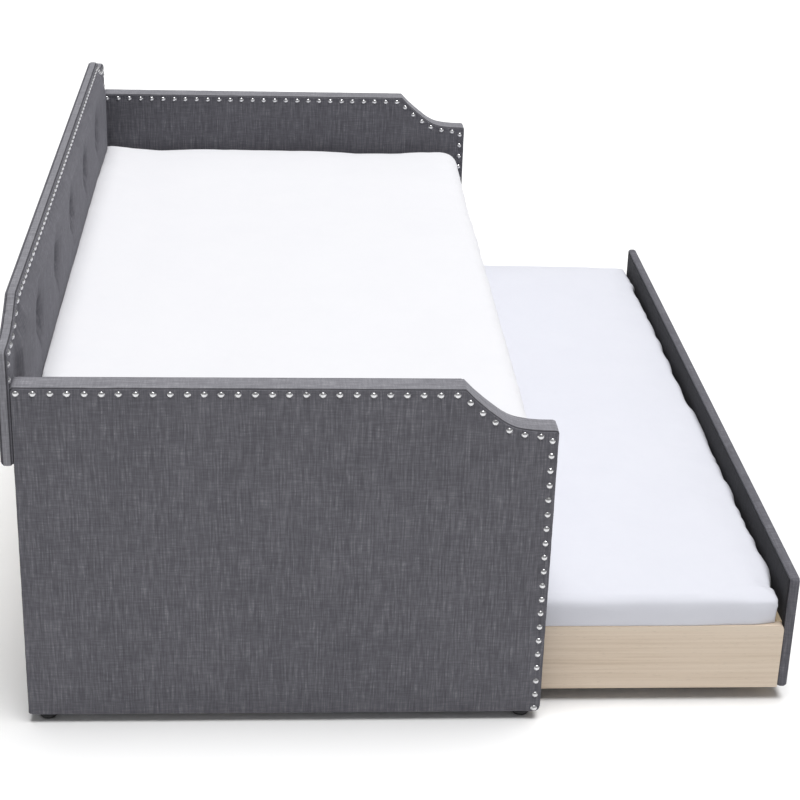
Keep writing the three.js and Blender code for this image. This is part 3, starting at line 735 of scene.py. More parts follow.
def make_arm(side):
    sx = -1 if side == "left" else 1
    lo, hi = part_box(f"{side}_arm_cover")
    xc = (lo.x + hi.x) / 2
    # c = +1 faces -X
    place = lambda v: (xc - v[2], Y0 - v[0], v[1])
    hf = arm_face(11 if sx < 0 else 31)

    def gusset(s, lv, ring):
        # the fabric is eased round the scoop: small soft ripples there
        k = ((ring[:, 0] > ARM_D - SCALLOP - 0.02) & (ring[:, 1] > SHOULDER - 0.02)).astype(float)
        return k * 0.0006 * vnoise(s * 34, lv * 18, None, 3)
    # the edge strip gets the lighter linen: painted light for the brighter tops and scoop
    ob = panel(f"{side}_arm_upholstery", arm_segments(), hi.x - lo.x, place, M["linen"], hf, gusset=gusset, strip=M["gusset"])
    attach(ob, "daybed")
    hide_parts(f"{side}_arm_cover")
    for c in (1, -1):                                    # c = 1: the face towards -X
        which = "outer" if (c > 0) == (sx < 0) else "inner"
        a, b = ARM_NAILS[:, 0], ARM_NAILS[:, 1]
        d = np.full(len(a), TRIM_INSET)
        hh = (hi.x - lo.x) / 2 + hf(c, a, b, d) + 0.0001
        pts = [(xc - c * q, Y0 - x, y) for x, y, q in zip(a, b, hh)]
        nl = nails(f"{side}_arm_{which}_nailheads", pts, [(-c, 0, 0)] * len(pts), M["nickel"], 100 + 10 * (sx > 0) + (c > 0))
        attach(nl, "daybed")
        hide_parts(f"{side}_arm_{which}_nail_trim")


make_arm("left")
make_arm("right")


# ------------------------------------------------------------------ back panel
TUFTS = [(k * 0.327, 0.712) for k in (-2, -1, 0, 1, 2)]


def back_plain():
    right = [(HALF - BACK_SCALLOP + a * BACK_SCALLOP, BACK_TOP - b * (BACK_TOP - BACK_SHOULDER)) for a, b in SCOOP]
    return [(-HALF, BACK_BOTTOM), (HALF, BACK_BOTTOM)] + right[::-1] + [(-x, y) for x, y in right]


def back_segments():
    right = catmull([(HALF - BACK_SCALLOP + a * BACK_SCALLOP, BACK_TOP - b * (BACK_TOP - BACK_SHOULDER)) for a, b in SCOOP])[::-1]
    c = 0.004
    cusp = HALF - BACK_SCALLOP
    right = [p for p in right if p[0] < HALF - c - 0.0005]
    left = [(-x, y) for x, y in right[::-1]]
    return [
        [(-HALF + c, BACK_BOTTOM), (HALF - c, BACK_BOTTOM)],
        arc(HALF - c, BACK_BOTTOM + c, c, -90, 0, 3),
        [(HALF, BACK_BOTTOM + c), (HALF, BACK_SHOULDER - c)],
        arc(HALF - c, BACK_SHOULDER - c, c, 0, 90, 3),
        [(HALF - c, BACK_SHOULDER)] + right,
        [(cusp, BACK_TOP), (-cusp, BACK_TOP)],
        left + [(-HALF + c, BACK_SHOULDER)],
        arc(-HALF + c, BACK_SHOULDER - c, c, 90, 180, 3),
        [(-HALF, BACK_SHOULDER - c), (-HALF, BACK_BOTTOM + c)],
        arc(-HALF + c, BACK_BOTTOM + c, c, 180, 270, 3),
    ]


def back_nail_line():
    p = inset(back_plain(), TRIM_INSET)
    low = ARM_TOP + 0.011
    return along_path([(p[1][0], low)] + p[2:] + [(p[0][0], low)])


BACK_NAILS = back_nail_line()


def back_face(side, a, b, d):
    if side < 0:                                          # rear: flat lining
        return 0.0004 * fbm(a * 5, b * 5, None, 3, 77) + 0.0006 * smooth((d - 0.01) / 0.05)
    rho = nearest(a, b, BACK_NAILS)
    # the foam falls away towards the nailed edges, but runs full down to the bottom one
    d2 = np.where(np.abs(b - BACK_BOTTOM - d) < 5e-4, np.maximum(d, 0.2), d)
    inner = smooth((d2 - 0.018) / 0.045) * smooth((HALF - 0.075 - np.abs(a)) / 0.05)
    low = smooth((b - BACK_BOTTOM - 0.001) / 0.015)
    pad = 0.0135 * inner * low
    out = pad.copy()
    for k, (tx, tz) in enumerate(TUFTS):
        dx, dz = a - tx, b - tz
        q = np.sqrt(dx * dx + dz * dz)
        th = np.arctan2(dz, dx)
        # radial gathers round the button, deepest up and down
        fold = 0.5 + 0.5 * np.cos(th * 6 + 0.9 * k + 0.6 * np.sin(th * 2 + k))
        pull = np.exp(-(q / 0.030) ** 2)
        wide = np.exp(-(q / 0.062) ** 2)
        out = out - inner * (0.0120 * pull + 0.0055 * wide)
        out = out - inner * 0.0036 * fold * np.exp(-((q - 0.028) / 0.018) ** 2)
        # the cloth is drawn up and down from each button
        out = out - inner * 0.0045 * np.exp(-(dx / 0.009) ** 2) * np.exp(-(dz / 0.058) ** 2)
    out = out - 0.0012 * np.exp(-(rho / 0.0085) ** 2) - 0.0008 * np.exp(-((d - TRIM_INSET) / 0.007) ** 2)
    out = out + 0.0010 * fbm(a * 4, b * 6, None, 3, 91) * (0.4 + inner)
    # the cloth stops at the board behind it
    floor = -0.0042
    return np.where(out < floor + 0.003, floor + 0.003 * np.exp((np.minimum(out, floor + 0.003) - floor - 0.003) / 0.003), out)


def make_back():
    lo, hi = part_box("back_panel_cover")
    yc = hi.y - BACK_T / 2
    place = lambda v: (v[0], yc - v[2], v[1])

    def gusset(s, lv, ring):
        # a fold in the cloth where it turns up the scoop
        out = np.zeros(len(ring))
        for sx in (-1, 1):
            x0 = sx * (HALF - 0.125 + lv * 1.1)
            k = (ring[:, 1] > BACK_SHOULDER - 0.01)
            q = (ring[:, 0] - x0)
            out -= k * 0.0030 * np.exp(-(q / 0.0045) ** 2)
            out += k * 0.0016 * np.exp(-((q - sx * 0.011) / 0.007) ** 2)
        return out + 0.0004 * vnoise(s * 25, lv * 40, None, 9)
    extra = [(x, z, 0.075, 0.0042) for x, z in TUFTS]
    # the edge strip gets the lighter linen: painted light for the brighter top and scoops
    ob = panel("back_panel_upholstery", back_segments(), BACK_T, place, M["linen"], back_face, grid=0.0085, gusset=gusset, strip=M["gusset"],
               rows=(0.0022, 0.0042), seam=0.0022, extra=extra)
    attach(ob, "daybed")
    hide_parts("back_panel_cover")
    a, b = BACK_NAILS[:, 0], BACK_NAILS[:, 1]
    hh = BACK_T / 2 + back_face(1, a, b, np.full(len(a), TRIM_INSET)) + 0.0001
    nl = nails("back_panel_nailheads", [(x, yc - q, z) for x, z, q in zip(a, b, hh)], [(0, -1, 0)] * len(a), M["nickel"], 7)
    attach(nl, "daybed")
    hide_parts("back_panel_nail_trim")
    # fabric-covered buttons, sunk in the tufts
    prof = [(0, 0.0046), (0.002, 0.0045), (0.0045, 0.0040), (0.007, 0.0031), (0.009, 0.0019), (0.0103, 0.0006),
            (0.0106, -0.0006), (0.0098, -0.0018), (0.008, -0.0024), (0, -0.0024)]
    V, F = lathe(prof, 24)
    verts, faces = [], []
    for x, z in TUFTS:
        h = float(back_face(1, np.array([x]), np.array([z]), np.array([0.13]))[0])
        off = len(verts)
        verts += [(x + v[0], yc - (BACK_T / 2 + h + 0.0012) - v[2], z + v[1]) for v in V]
        faces += [tuple(off + i for i in f) for f in F]
    bt = make_object("back_tuft_buttons", verts, faces, M["linen"])
    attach(bt, "daybed")


make_back()


# ------------------------------------------------------------------ front rail and trundle front
def block_segments(w, h, r):
    """A w by h rectangle centred in width, standing on 0, with corner radius r."""
    x = w / 2
    return [
        [(-x + r, 0), (x - r, 0)], arc(x - r, r, r, -90, 0, 4),
        [(x, r), (x, h - r)], arc(x - r, h - r, r, 0, 90, 4),
        [(x - r, h), (-x + r, h)], arc(-x + r, h - r, r, 90, 180, 4),
        [(-x, h - r), (-x, r)], arc(-x + r, r, r, 180, 270, 4),
    ]


def make_front_rail():
    lo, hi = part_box("front_rail_cover")
    yc = (lo.y + hi.y) / 2
    w, h = hi.x - lo.x, hi.z - lo.z
    hf = lambda side, a, b, d: 0.0008 * smooth(d / 0.03) + 0.0005 * fbm(a * 6, b * 9, None, 3, 40 + side) * smooth(d / 0.02)
    ob = panel("front_rail_upholstery", block_segments(w, h, 0.004), hi.y - lo.y - 0.0016, lambda v: (v[0], yc - v[2], lo.z + v[1]),
               M["linen"], hf, grid=0.011, seam=0.0008)
    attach(ob, "daybed")
    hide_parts("front_rail_cover")


def make_trundle_front():
    lo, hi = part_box("trundle_panel_cover")
    yc = (lo.y + hi.y) / 2
    w, h, t = hi.x - lo.x, hi.z - lo.z, hi.y - lo.y
    def hf(side, a, b, d):
        out = 0.0007 * smooth(d / 0.03) + 0.0005 * fbm(a * 5, b * 8, None, 3, 60 + side) * smooth(d / 0.02)
        return out * (0.25 if side < 0 else 1.0)

    def gusset(s, lv, ring):
        # the cloth is folded over at the ends, just under the top
        end = (np.abs(ring[:, 0]) > w / 2 - 0.002).astype(float)
        return -0.0022 * end * np.exp(-((ring[:, 1] - (h - 0.017 + lv * 0.25)) / 0.0022) ** 2) \
            + 0.0009 * end * np.exp(-((ring[:, 1] - (h - 0.011)) / 0.005) ** 2)
    ob = panel("trundle_front_upholstery", block_segments(w, h, 0.006), t - 0.0008, lambda v: (v[0], yc - 0.0004 - v[2], lo.z + v[1]),
               M["linen"], hf, step=0.0045, grid=0.011, rows=(0.0018, 0.0038), seam=0.0014, gusset=gusset, r=0.0026)
    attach(ob, "trundle")
    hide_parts("trundle_panel_cover")
    # painted shade: the inside face is covered with a thin sheet of near-black charcoal linen that stands in for the
    # shade on that face; it stops just inside the edge and dips slightly near its border
    n = 9
    x1, z0, z1 = w / 2 - 0.006, lo.z + 0.006, hi.z - 0.0062
    xs = np.r_[np.linspace(-x1, -x1 + 0.03, 5)[:-1], np.linspace(-x1 + 0.03, x1 - 0.03, 150), np.linspace(x1 - 0.03, x1, 5)[1:]]
    zs = np.r_[np.linspace(z0, z0 + 0.012, 4)[:-1], np.linspace(z0 + 0.012, z1 - 0.012, 18), np.linspace(z1 - 0.012, z1, 4)[1:]]
    X, Z = np.meshgrid(xs, zs, indexing="ij")
    edge = np.minimum(np.minimum(X + x1, x1 - X), np.minimum(Z - z0, z1 - Z))
    T = 0.0002 + 0.0007 * smooth(edge / 0.003) + 0.00035 * (fbm(X * 7, Z * 12, None, 3, 8) + 1) * smooth(edge / 0.01)
    T = T - 0.00025 * np.exp(-((edge - 0.009) / 0.0012) ** 2)
    base = hi.y + 0.0001
    front = np.stack([X, base + T, Z], -1).reshape(-1, 3)
    back = np.stack([X, np.full_like(X, base - 0.0006), Z], -1).reshape(-1, 3)
    nx, nz = len(xs), len(zs)
    idx = lambda i, j: i * nz + j
    faces = []
    for i in range(nx - 1):
        for j in range(nz - 1):
            faces.append((idx(i, j), idx(i, j + 1), idx(i + 1, j + 1), idx(i + 1, j)))
            faces.append(tuple(nx * nz + k for k in (idx(i, j), idx(i + 1, j), idx(i + 1, j + 1), idx(i, j + 1))))
    loop = [idx(i, 0) for i in range(nx)] + [idx(nx - 1, j) for j in range(1, nz)] + [idx(i, nz - 1) for i in range(nx - 2, -1, -1)] \
        + [idx(0, j) for j in range(nz - 2, 0, -1)]
    for a, b in zip(loop, loop[1:] + loop[:1]):
        faces.append((a, b, nx * nz + b, nx * nz + a))
    ob = make_object("trundle_front_painted_shade_sheet", np.r_[front, back], faces, M["charcoal"])
    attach(ob, "trundle")


make_front_rail()
make_trundle_front()


# ------------------------------------------------------------------ mattresses
def lines(lo, hi, r, mid):
    n = max(2, int((hi - lo - 2 * r) / mid))
    k = (1 - np.cos(np.linspace(0, math.pi / 2, 7))) * r
    return np.unique(np.round(np.r_[lo + k, np.linspace(lo + r, hi - r, n), hi - k], 6))


def box_grid(xs, ys, zs):
    verts, faces = [], []

    def sheet(P):
        n, m = P.shape[:2]
        off = len(verts)
        verts.extend(P.reshape(-1, 3).tolist())
        for i in range(n - 1):
            for j in range(m - 1):
                a = off + i * m + j
                faces.append((a, a + 1, a + m + 1, a + m))
    for z in (zs[0], zs[-1]):
        X, Y = np.meshgrid(xs, ys, indexing="ij")
        sheet(np.stack([X, Y, np.full_like(X, z)], -1))
    for y in (ys[0], ys[-1]):
        X, Z = np.meshgrid(xs, zs, indexing="ij")
        sheet(np.stack([X, np.full_like(X, y), Z], -1))
    for x in (xs[0], xs[-1]):
        Y, Z = np.meshgrid(ys, zs, indexing="ij")
        sheet(np.stack([np.full_like(Y, x), Y, Z], -1))
    return np.array(verts), faces


def baked(ob):
    """The mesh as its modifiers leave it."""
    dg = bpy.context.evaluated_depsgraph_get()
    me = bpy.data.meshes.new_from_object(ob.evaluated_get(dg), depsgraph=dg)
    old = ob.data
    ob.modifiers.clear()
    ob.data = me
    bpy.data.meshes.remove(old)


def coords(me):
    co = np.empty(len(me.vertices) * 3)
    me.vertices.foreach_get("co", co)
    return co.reshape(-1, 3)


def set_coords(me, co):
    me.vertices.foreach_set("co", co.ravel())
    me.update()


def normals(me):
    n = np.empty(len(me.vertices) * 3)
    me.vertices.foreach_get("normal", n)
    return n.reshape(-1, 3)


def make_mattress(name, node, body, mat, span, radius, shape, finish, within, cap, voxel):
    """A rounded pad, swollen by a cloth simulation and then dressed. span is its lowest and highest corner before it swells.
    shape(P, lo, hi) bends the start form; finish(P, N, lo, hi) gives the fine folds as a distance along the normal; within(P) keeps it
    clear of its neighbours."""
    lo, hi = (np.array(v, float) for v in span)
    r = np.array(radius)
    P, F = box_grid(*(lines(lo[i], hi[i], r[i], 0.03) for i in range(3)))
    q = np.clip(P, lo + r, hi - r)
    d = (P - q) / r
    ln = np.linalg.norm(d, axis=1)
    k = ln > 1e-9
    P[k] = q[k] + r * (d[k] / ln[k][:, None])
    P = shape(P, lo, hi)
    ob = make_object(name, P, F, mat)
    rm = ob.modifiers.new("Remesh", "REMESH")
    rm.mode = "VOXEL"
    rm.voxel_size = voxel
    baked(ob)
    me = ob.data
    start = coords(me)
    grp = ob.vertex_groups.new(name="held")
    held = start[:, 2] < lo[2] + 0.012                # it lies on its slats
    grp.add([int(i) for i in np.nonzero(held)[0]], 1.0, "REPLACE")
    cl = ob.modifiers.new("Cloth", "CLOTH")
    s = cl.settings
    s.quality = 5
    s.mass = 0.3
    s.tension_stiffness = s.compression_stiffness = 12
    s.shear_stiffness = 5
    s.bending_stiffness = 0.8
    s.use_pressure = True
    s.uniform_pressure_force = 4
    s.shrink_min = -0.02
    s.vertex_group_mass = "held"
    s.effector_weights.gravity = 0
    cl.collision_settings.use_collision = False
    cl.collision_settings.use_self_collision = False
    cl.point_cache.frame_start, cl.point_cache.frame_end = 1, 20
    for f in range(1, 21):
        scene.frame_set(f)
    baked(ob)
    me = ob.data
    scene.frame_set(1)
    now = coords(me)
    step = np.nan_to_num(now - start)
    size = np.linalg.norm(step, axis=1)
    step *= (cap * np.tanh(size / cap) / np.maximum(size, 1e-9))[:, None]
    set_coords(me, start + step)
    sub = ob.modifiers.new("Subdivision", "SUBSURF")
    sub.levels = sub.render_levels = 1
    baked(ob)
    me = ob.data
    P, nrm = coords(me), normals(me)
    P = P + nrm * finish(P, nrm, lo, hi)[:, None]
    set_coords(me, within(P))
    me.materials.clear()
    me.materials.append(mat)
    me.shade_smooth()
    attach(ob, body)
    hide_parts(node)
    return ob


def soft_limit(v, edge, room):
    """v kept below edge, easing over the last `room` metres, so that a flat cut doesn't show."""
    over = v - (edge - room)
    return np.where(over > 0, edge - room + room * np.tanh(np.maximum(over, 0) / room), v)


def day_shape(P, lo, hi):
    c, s = (lo + hi) / 2, (hi - lo) / 2
    x, y = (P[:, 0] - c[0]) / s[0], (P[:, 1] - c[1]) / s[1]
    t = (P[:, 2] - lo[2]) / (hi[2] - lo[2])
    P = P.copy()
    # crowned, and pushed up a little where it presses against the back panel
    P[:, 2] -= smooth(t) * 0.009 * (np.abs(x) ** 5 + np.clip(-y, 0, 1) ** 5)
    P[:, 2] += smooth(t) * 0.018 * smooth((y - 0.60) / 0.35) * (1 - 0.7 * np.abs(x) ** 4)
    P[:, 2] += smooth(t) * 0.0035 * vnoise(P[:, 0] * 2.1, P[:, 1] * 4.6, None, 71)
    front = smooth((-y - 0.6) / 0.4)
    P[:, 1] -= front * (0.010 * np.sin(math.pi * np.clip(t, 0, 1)) - 0.004 * (1 - x ** 4))
    return P


def day_finish(P, nrm, lo, hi):
    x, y, z = P.T
    up = np.clip(nrm[:, 2], 0, 1)
    side = np.clip(1 - np.abs(nrm[:, 2]), 0, 1)
    front = np.exp(-np.maximum(y - lo[1], 0) / 0.10)
    ends = np.exp(-np.minimum(x - lo[0], hi[0] - x) / 0.08)
    back = np.exp(-(hi[1] - y) / 0.05)
    out = 0.0012 * fbm(x * 4, y * 4, z * 4, 3, 3)
    out = out + 0.0014 * up * fbm(x * 9 + 0.6 * vnoise(x * 3, y * 3, None, 8), y * 3.2, None, 2, 21) * (0.35 + front)
    # folds that fall over the front edge, deeper towards the bottom
    w = 0.5 * vnoise(x * 5, z * 3, None, 12)
    low = smooth((hi[2] - z) / 0.12)
    out = out + 0.0050 * front * side * low * vnoise(x * 19 + w, z * 2.5, None, 14)
    out = out + 0.0016 * front * (side + 0.3 * up) * vnoise(x * 47 + 2 * w, z * 4 + y * 2, None, 15)
    out = out + 0.0026 * ends * side * vnoise(y * 18, z * 3, None, 16)
    out = out + 0.0022 * back * up * vnoise(x * 26, y * 9, None, 17)
    return out


def day_within(P):
    P = P.copy()
    P[:, 0] = np.sign(P[:, 0]) * soft_limit(np.abs(P[:, 0]), 0.9806, 0.004)
    P[:, 1] = -soft_limit(-P[:, 1], 0.2605, 0.006)
    # behind, it presses against the back panel's foam above and the rail's plane below
    foam = smooth((HALF - 0.075 - np.abs(P[:, 0])) / 0.05)
    wall = 0.7568 - 0.0126 * foam * smooth((P[:, 2] - 0.568) / 0.015)
    P[:, 1] = np.minimum(P[:, 1], wall)
    P[:, 2] = np.maximum(P[:, 2], 0.3553)
    return P


def trundle_shape(P, lo, hi):
    c, s = (lo + hi) / 2, (hi - lo) / 2
    x, y = (P[:, 0] - c[0]) / s[0], (P[:, 1] - c[1]) / s[1]
    t = (P[:, 2] - lo[2]) / (hi[2] - lo[2])
    P = P.copy()
    P[:, 2] -= smooth(t) * 0.010 * (np.abs(x) ** 6 + np.abs(y) ** 5)
    P[:, 2] += smooth(t) * 0.0022 * vnoise(P[:, 0] * 2.6, P[:, 1] * 3.4, None, 72)
    return P


def trundle_finish(P, nrm, lo, hi):
    x, y, z = P.T
    up = np.clip(nrm[:, 2], 0, 1)
    side = np.clip(1 - np.abs(nrm[:, 2]), 0, 1)
    front = np.exp(-np.maximum(y - lo[1], 0) / 0.050)
    near = np.exp(-np.minimum(x - lo[0], hi[0] - x) / 0.07)
    out = 0.0012 * fbm(x * 4, y * 4, z * 4, 3, 33)
    out = out + 0.0013 * up * fbm(x * 5, y * 8, None, 2, 51)
    w = 0.6 * vnoise(x * 4, z * 3, None, 42)
    # gathers where it is tucked against the panel
    g1 = vnoise(x * 13 + w, z * 2 + y * 3, None, 44)
    more = 1 + 0.9 * np.exp(-(x - lo[0]) / 0.22)
    out = out + front * (0.25 + side) * (0.0078 * g1 - 0.0030) * more
    out = out + 0.0034 * front * (0.4 + side) * more * vnoise(x * 36 + 2 * w, z * 5 + y * 5, None, 45)
    out = out + 0.0026 * near * side * vnoise(y * 11, z * 4, None, 46)
    # one larger tuck by the near corner
    k = np.exp(-((x - lo[0] - 0.085 + (y - lo[1]) * 0.35) / 0.010) ** 2) * np.exp(-((y - lo[1]) / 0.07) ** 2)
    out = out - 0.0060 * k
    return out


RAIL_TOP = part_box("trundle_left_end_rail")[1].z


def trundle_within(P):
    """Above the rails it spreads over them and lies on their tops; below, it stays between them."""
    P = P.copy()
    x, y, z = P.T.copy()
    top = RAIL_TOP + 0.0007
    out = (np.abs(x) > 0.9553) | (y < -0.7432) | (y > 0.1990)
    spread = z > RAIL_TOP - 0.004
    turn = out & ~spread & (z > RAIL_TOP - 0.014)
    P[turn, 2] = top
    P[out & spread, 2] = np.maximum(z[out & spread], top)
    ex = np.where(spread, 0.9722, 0.9553)
    P[:, 0] = np.sign(x) * np.minimum(np.abs(x), ex)
    P[:, 1] = np.clip(y, np.where(spread, -0.7603, -0.7432), np.where(spread, 0.2150, 0.1990))
    P[:, 2] = np.maximum(P[:, 2], 0.0873)
    P[:, 2] = soft_limit(P[:, 2], 0.2550, 0.003)
    return P


make_mattress("daybed_bedding", "daybed_mattress", "daybed", M["sheet"], ((-0.979, -0.2450, 0.3553), (0.979, 0.7790, 0.5860)),
              (0.030, 0.036, 0.030), day_shape, day_finish, day_within, 0.007, 0.012)
make_mattress("trundle_bedding", "trundle_mattress", "trundle", M["sheet2"],
              ((-0.9790, -0.7660, 0.0873), (0.9790, 0.2210, 0.2480)), (0.016, 0.014, 0.030), trundle_shape, trundle_finish, trundle_within,
              0.006, 0.012)


# ------------------------------------------------------------------ wheels, glides and fixings
def lathe_piece(name, profile, axis, at, mat, segments=48, sharp=40):
    V, F = lathe(profile, segments)
    if axis == "X":
        V = V[:, [2, 0, 1]]
    V = V + np.array(at)
    ob = make_object(name, V, F, mat)
    sharpen(ob, sharp)
    return ob


def ring_piece(name, profile, at, mat, segments=64, sharp=35):
    """A closed ring about X: the profile (radius, x) is a closed loop."""
    n = len(profile)
    verts, faces = [], []
    for k in range(segments):
        a = 2 * math.pi * k / segments
        for r, x in profile:
            verts.append((at[0] + x, at[1] + r * math.cos(a), at[2] + r * math.sin(a)))
    for k in range(segments):
        k2 = (k + 1) % segments
        for i in range(n):
            j = (i + 1) % n
            faces.append((k * n + i, k2 * n + i, k2 * n + j, k * n + j))
    ob = make_object(name, verts, faces, mat)
    sharpen(ob, sharp)
    return ob


for side in ("left", "right"):
    for place in ("rear", "front"):
        node = f"{side}_{place}_caster_wheel"
        lo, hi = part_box(node)
        c = (lo + hi) / 2
        R = (hi.z - lo.z) / 2
        half = 0.010
        bore = 0.0045
        prof = [(bore, -half - 0.0008), (0.0085, -half - 0.0008), (0.0092, -half + 0.0004), (0.0096, -half + 0.0028), (0.0165, -half + 0.0034),
                (0.0198, -half + 0.0026), (0.0205, -half + 0.0004), (R - 0.0030, -half), (R - 0.0012, -half + 0.0008), (R - 0.0003, -half + 0.0022),
                (R, -half + 0.0042), (R, half - 0.0042), (R - 0.0003, half - 0.0022), (R - 0.0012, half - 0.0008), (R - 0.0030, half),
                (0.0205, half - 0.0004), (0.0198, half - 0.0026), (0.0165, half - 0.0034), (0.0096, half - 0.0028), (0.0092, half - 0.0004),
                (0.0085, half + 0.0008), (bore, half + 0.0008)]
        ob = ring_piece(f"{side}_{place}_wheel_moulding", prof, c, M["nylon"])
        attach(ob, f"{side}_{place}_wheel")
        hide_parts(node)
        node = f"{side}_{place}_glide"
        lo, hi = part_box(node)
        c = (lo + hi) / 2
        R, top = (hi.x - lo.x) / 2, hi.z
        prof = [(0, 0.0), (0.0100, 0.0), (0.0135, 0.0003), (0.0158, 0.0013), (R - 0.0006, 0.0030), (R, 0.0050), (R, 0.0085), (R - 0.0008, 0.0100),
                (R - 0.0034, 0.0112), (0.0125, 0.0122), (0.0118, 0.0136), (0.0118, top - 0.0010), (0.0112, top), (0, top)]
        ob = lathe_piece(f"{side}_{place}_glide_moulding", prof, "Z", (c.x, c.y, 0), M["black"])
        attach(ob, "daybed")
        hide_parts(node)


def screws(name, spots, mat, body):
    """Pan-head screws with a hexagonal socket, heads facing along each spot's normal."""
    seg = 24
    prof = [(0, 0.0012), (0.0021, 0.0012), (0.0021, 0.0030), (0.0030, 0.0031), (0.0042, 0.0028), (0.0050, 0.0021), (0.0055, 0.0011), (0.0056, 0.0),
            (0.0050, -0.0006), (0, -0.0006)]
    V, F = lathe(prof, seg)
    ang = np.arctan2(V[:, 1], V[:, 0])
    rad = np.hypot(V[:, 0], V[:, 1])
    hexa = np.cos(math.pi / 6) / np.cos((ang % (math.pi / 3)) - math.pi / 6)
    k = (rad > 0.0015) & (rad < 0.0026)
    V[k, :2] *= hexa[k][:, None] * 1.08
    verts, faces = [], []
    for p, nrm in spots:
        z = np.array(nrm, float)
        x = np.cross(z, [0.31, 0.2, 0.93])
        x /= np.linalg.norm(x)
        y = np.cross(z, x)
        off = len(verts)
        verts += list(np.array(p) + V @ np.stack([x, y, z]))
        faces += [tuple(off + i for i in f) for f in F]
    ob = make_object(name, verts, faces, mat)
    sharpen(ob, 38)
    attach(ob, body)


spots = []
for side, sx in (("left", -1), ("right", 1)):
    for place in ("rear", "front"):
        lo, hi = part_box(f"{side}_{place}_rail_bracket")
        xa = lo.x if sx < 0 else hi.x
        ya = hi.y if place == "rear" else lo.y
        dx, dy = -sx, (-1 if place == "rear" else 1)
        t = 0.003
        leg = hi.x - lo.x
        for k in (0.42, 0.80):
            for z in (lo.z + 0.012, hi.z - 0.012):
                spots.append(((xa + dx * leg * k, ya + dy * t, z), (0, dy, 0)))
                spots.append(((xa + dx * t, ya + dy * leg * k, z), (dx, 0, 0)))
screws("rail_bracket_screws", spots, M["zinc"], "daybed")
spots = []
for side in ("left", "right"):
    for place in ("rear", "front"):
        lo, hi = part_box(f"{side}_{place}_caster_fork")
        for k in (-0.0095, 0.0095):
            spots.append((((lo.x + hi.x) / 2, (lo.y + hi.y) / 2 + k, hi.z - 0.0025), (0, 0, -1)))
screws("caster_screws", spots, M["zinc"], "trundle")


# ------------------------------------------------------------------ the CAD parts that stay: eased edges and their materials
SLOTS = {s["node"]: s.get("material_slot") for s in frame["record"].get("subparts", []) if "node" in s}


def wood_for(slot, ob):
    lo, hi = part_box(ob)
    along = "XYZ"[int(np.argmax(np.array(hi - lo)))]
    if slot == "birch_rail":
        return M["birch"] if along == "Y" else M["birch_x"]
    if slot == "slat_wood":
        return M["slat_y"]
    return M["pine_x"]


M["birch_x"] = wood("birch_rail_along_x", "X", (0.715, 0.605, 0.490), (0.665, 0.550, 0.435), (0.545, 0.430, 0.322), 3.0)
gone = {"left_arm_cover", "right_arm_cover", "back_panel_cover", "back_panel_nail_trim", "front_rail_cover", "trundle_panel_cover",
        "daybed_mattress", "trundle_mattress"}
for name, ob in frame["nodes"].items():
    if name in gone or name.endswith(("_nail_trim", "_wheel", "_glide")):
        continue
    slot = SLOTS.get(name)
    if slot in ("zinc_steel",):
        mat, width = M["zinc"], 0.0005
    elif slot == "core_board":
        mat, width = M["board"], 0.0008
    else:
        mat, width = wood_for(slot, name), 0.0016
    ob.data.materials.clear()
    ob.data.materials.append(mat)
    bv = ob.modifiers.new("Eased edges", "BEVEL")
    bv.width = width
    bv.segments = 3
    bv.limit_method = "ANGLE"
    bv.angle_limit = math.radians(32)
    bv.use_clamp_overlap = True
    if "axle" in name:
        ob.data.shade_smooth()


# ------------------------------------------------------------------ the room
def floor_material():
    m, nt, bsdf = new_mat("pale_floor")
    g = N(nt)
    n = g.noise(g.object_coords(), 1.5, 3.0, 0.5)
    nt.links.new(g.ramp(n, [(0.2, (0.905, 0.905, 0.905)), (0.8, (0.93, 0.93, 0.93))]), bsdf.inputs["Base Color"])
    bsdf.inputs["Roughness"].default_value = 0.95
    bsdf.inputs["Specular IOR Level"].default_value = 0.0
    return m


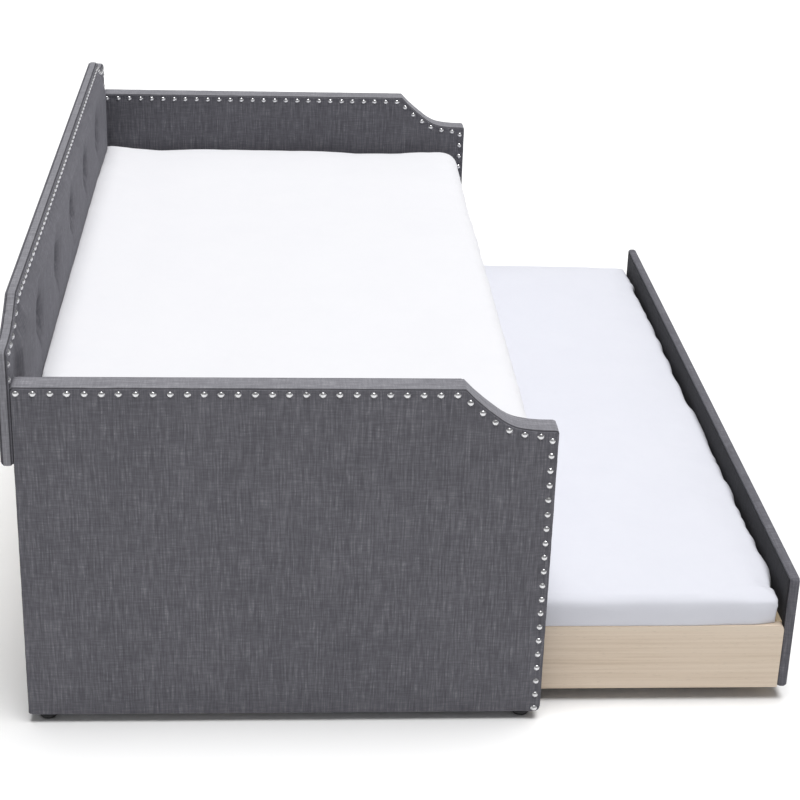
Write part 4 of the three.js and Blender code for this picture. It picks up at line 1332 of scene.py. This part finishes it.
me = bpy.data.meshes.new("studio_floor")
me.from_pydata([(-90, -90, -0.0004), (90, -90, -0.0004), (90, 90, -0.0004), (-90, 90, -0.0004)], [], [(0, 1, 2, 3)])
me.materials.append(floor_material())
floor = bpy.data.objects.new("studio_floor", me)
scene.collection.objects.link(floor)

world = bpy.data.worlds.new("studio")
scene.world = world
world.use_nodes = True
wn = world.node_tree
bg = next(n for n in wn.nodes if n.type == "BACKGROUND")
# a soft dome that lights the bed, seen itself as plain white paper
dome = N(wn)
bg.inputs["Color"].default_value = (1, 1, 1, 1)
seen = dome.node("ShaderNodeLightPath").outputs["Is Camera Ray"]
wn.links.new(dome.remap(seen, 0.0, 1.0, 0.27, 1.0), bg.inputs["Strength"])


def sun(name, direction, strength, angle):
    d = bpy.data.lights.new(name, "SUN")
    d.energy = strength
    d.angle = math.radians(angle)
    ob = bpy.data.objects.new(name, d)
    ob.rotation_mode = "QUATERNION"
    ob.rotation_quaternion = Vector(direction).to_track_quat("Z", "Y")
    scene.collection.objects.link(ob)


sun("overhead", (-0.03, -0.10, 0.99), 3.35, 42)

# ------------------------------------------------------------------ the camera
yaw, pitch, roll, focal = 0.07169, 0.42462, -0.03311, 1891.16
right = Vector((-math.sin(yaw), -math.cos(yaw), 0))
down = Vector((-math.sin(pitch) * math.cos(yaw), math.sin(pitch) * math.sin(yaw), -math.cos(pitch)))
cam_x = math.cos(roll) * right + math.sin(roll) * down
cam_down = -math.sin(roll) * right + math.cos(roll) * down
cam_z = cam_x.cross(-cam_down)
cd = bpy.data.cameras.new("camera")
cd.sensor_width = 36
cd.lens = focal * 36 / 800
cd.clip_start, cd.clip_end = 0.05, 200
camera = bpy.data.objects.new("camera", cd)
scene.collection.objects.link(camera)
camera.matrix_world = Matrix.Translation((-4.2308, 0.2704, 2.1533)) @ Matrix((
    (cam_x.x, -cam_down.x, cam_z.x, 0), (cam_x.y, -cam_down.y, cam_z.y, 0), (cam_x.z, -cam_down.z, cam_z.z, 0), (0, 0, 0, 1)))
scene.camera = camera
scene.view_settings.view_transform = "Standard"
scene.view_settings.look = "None"
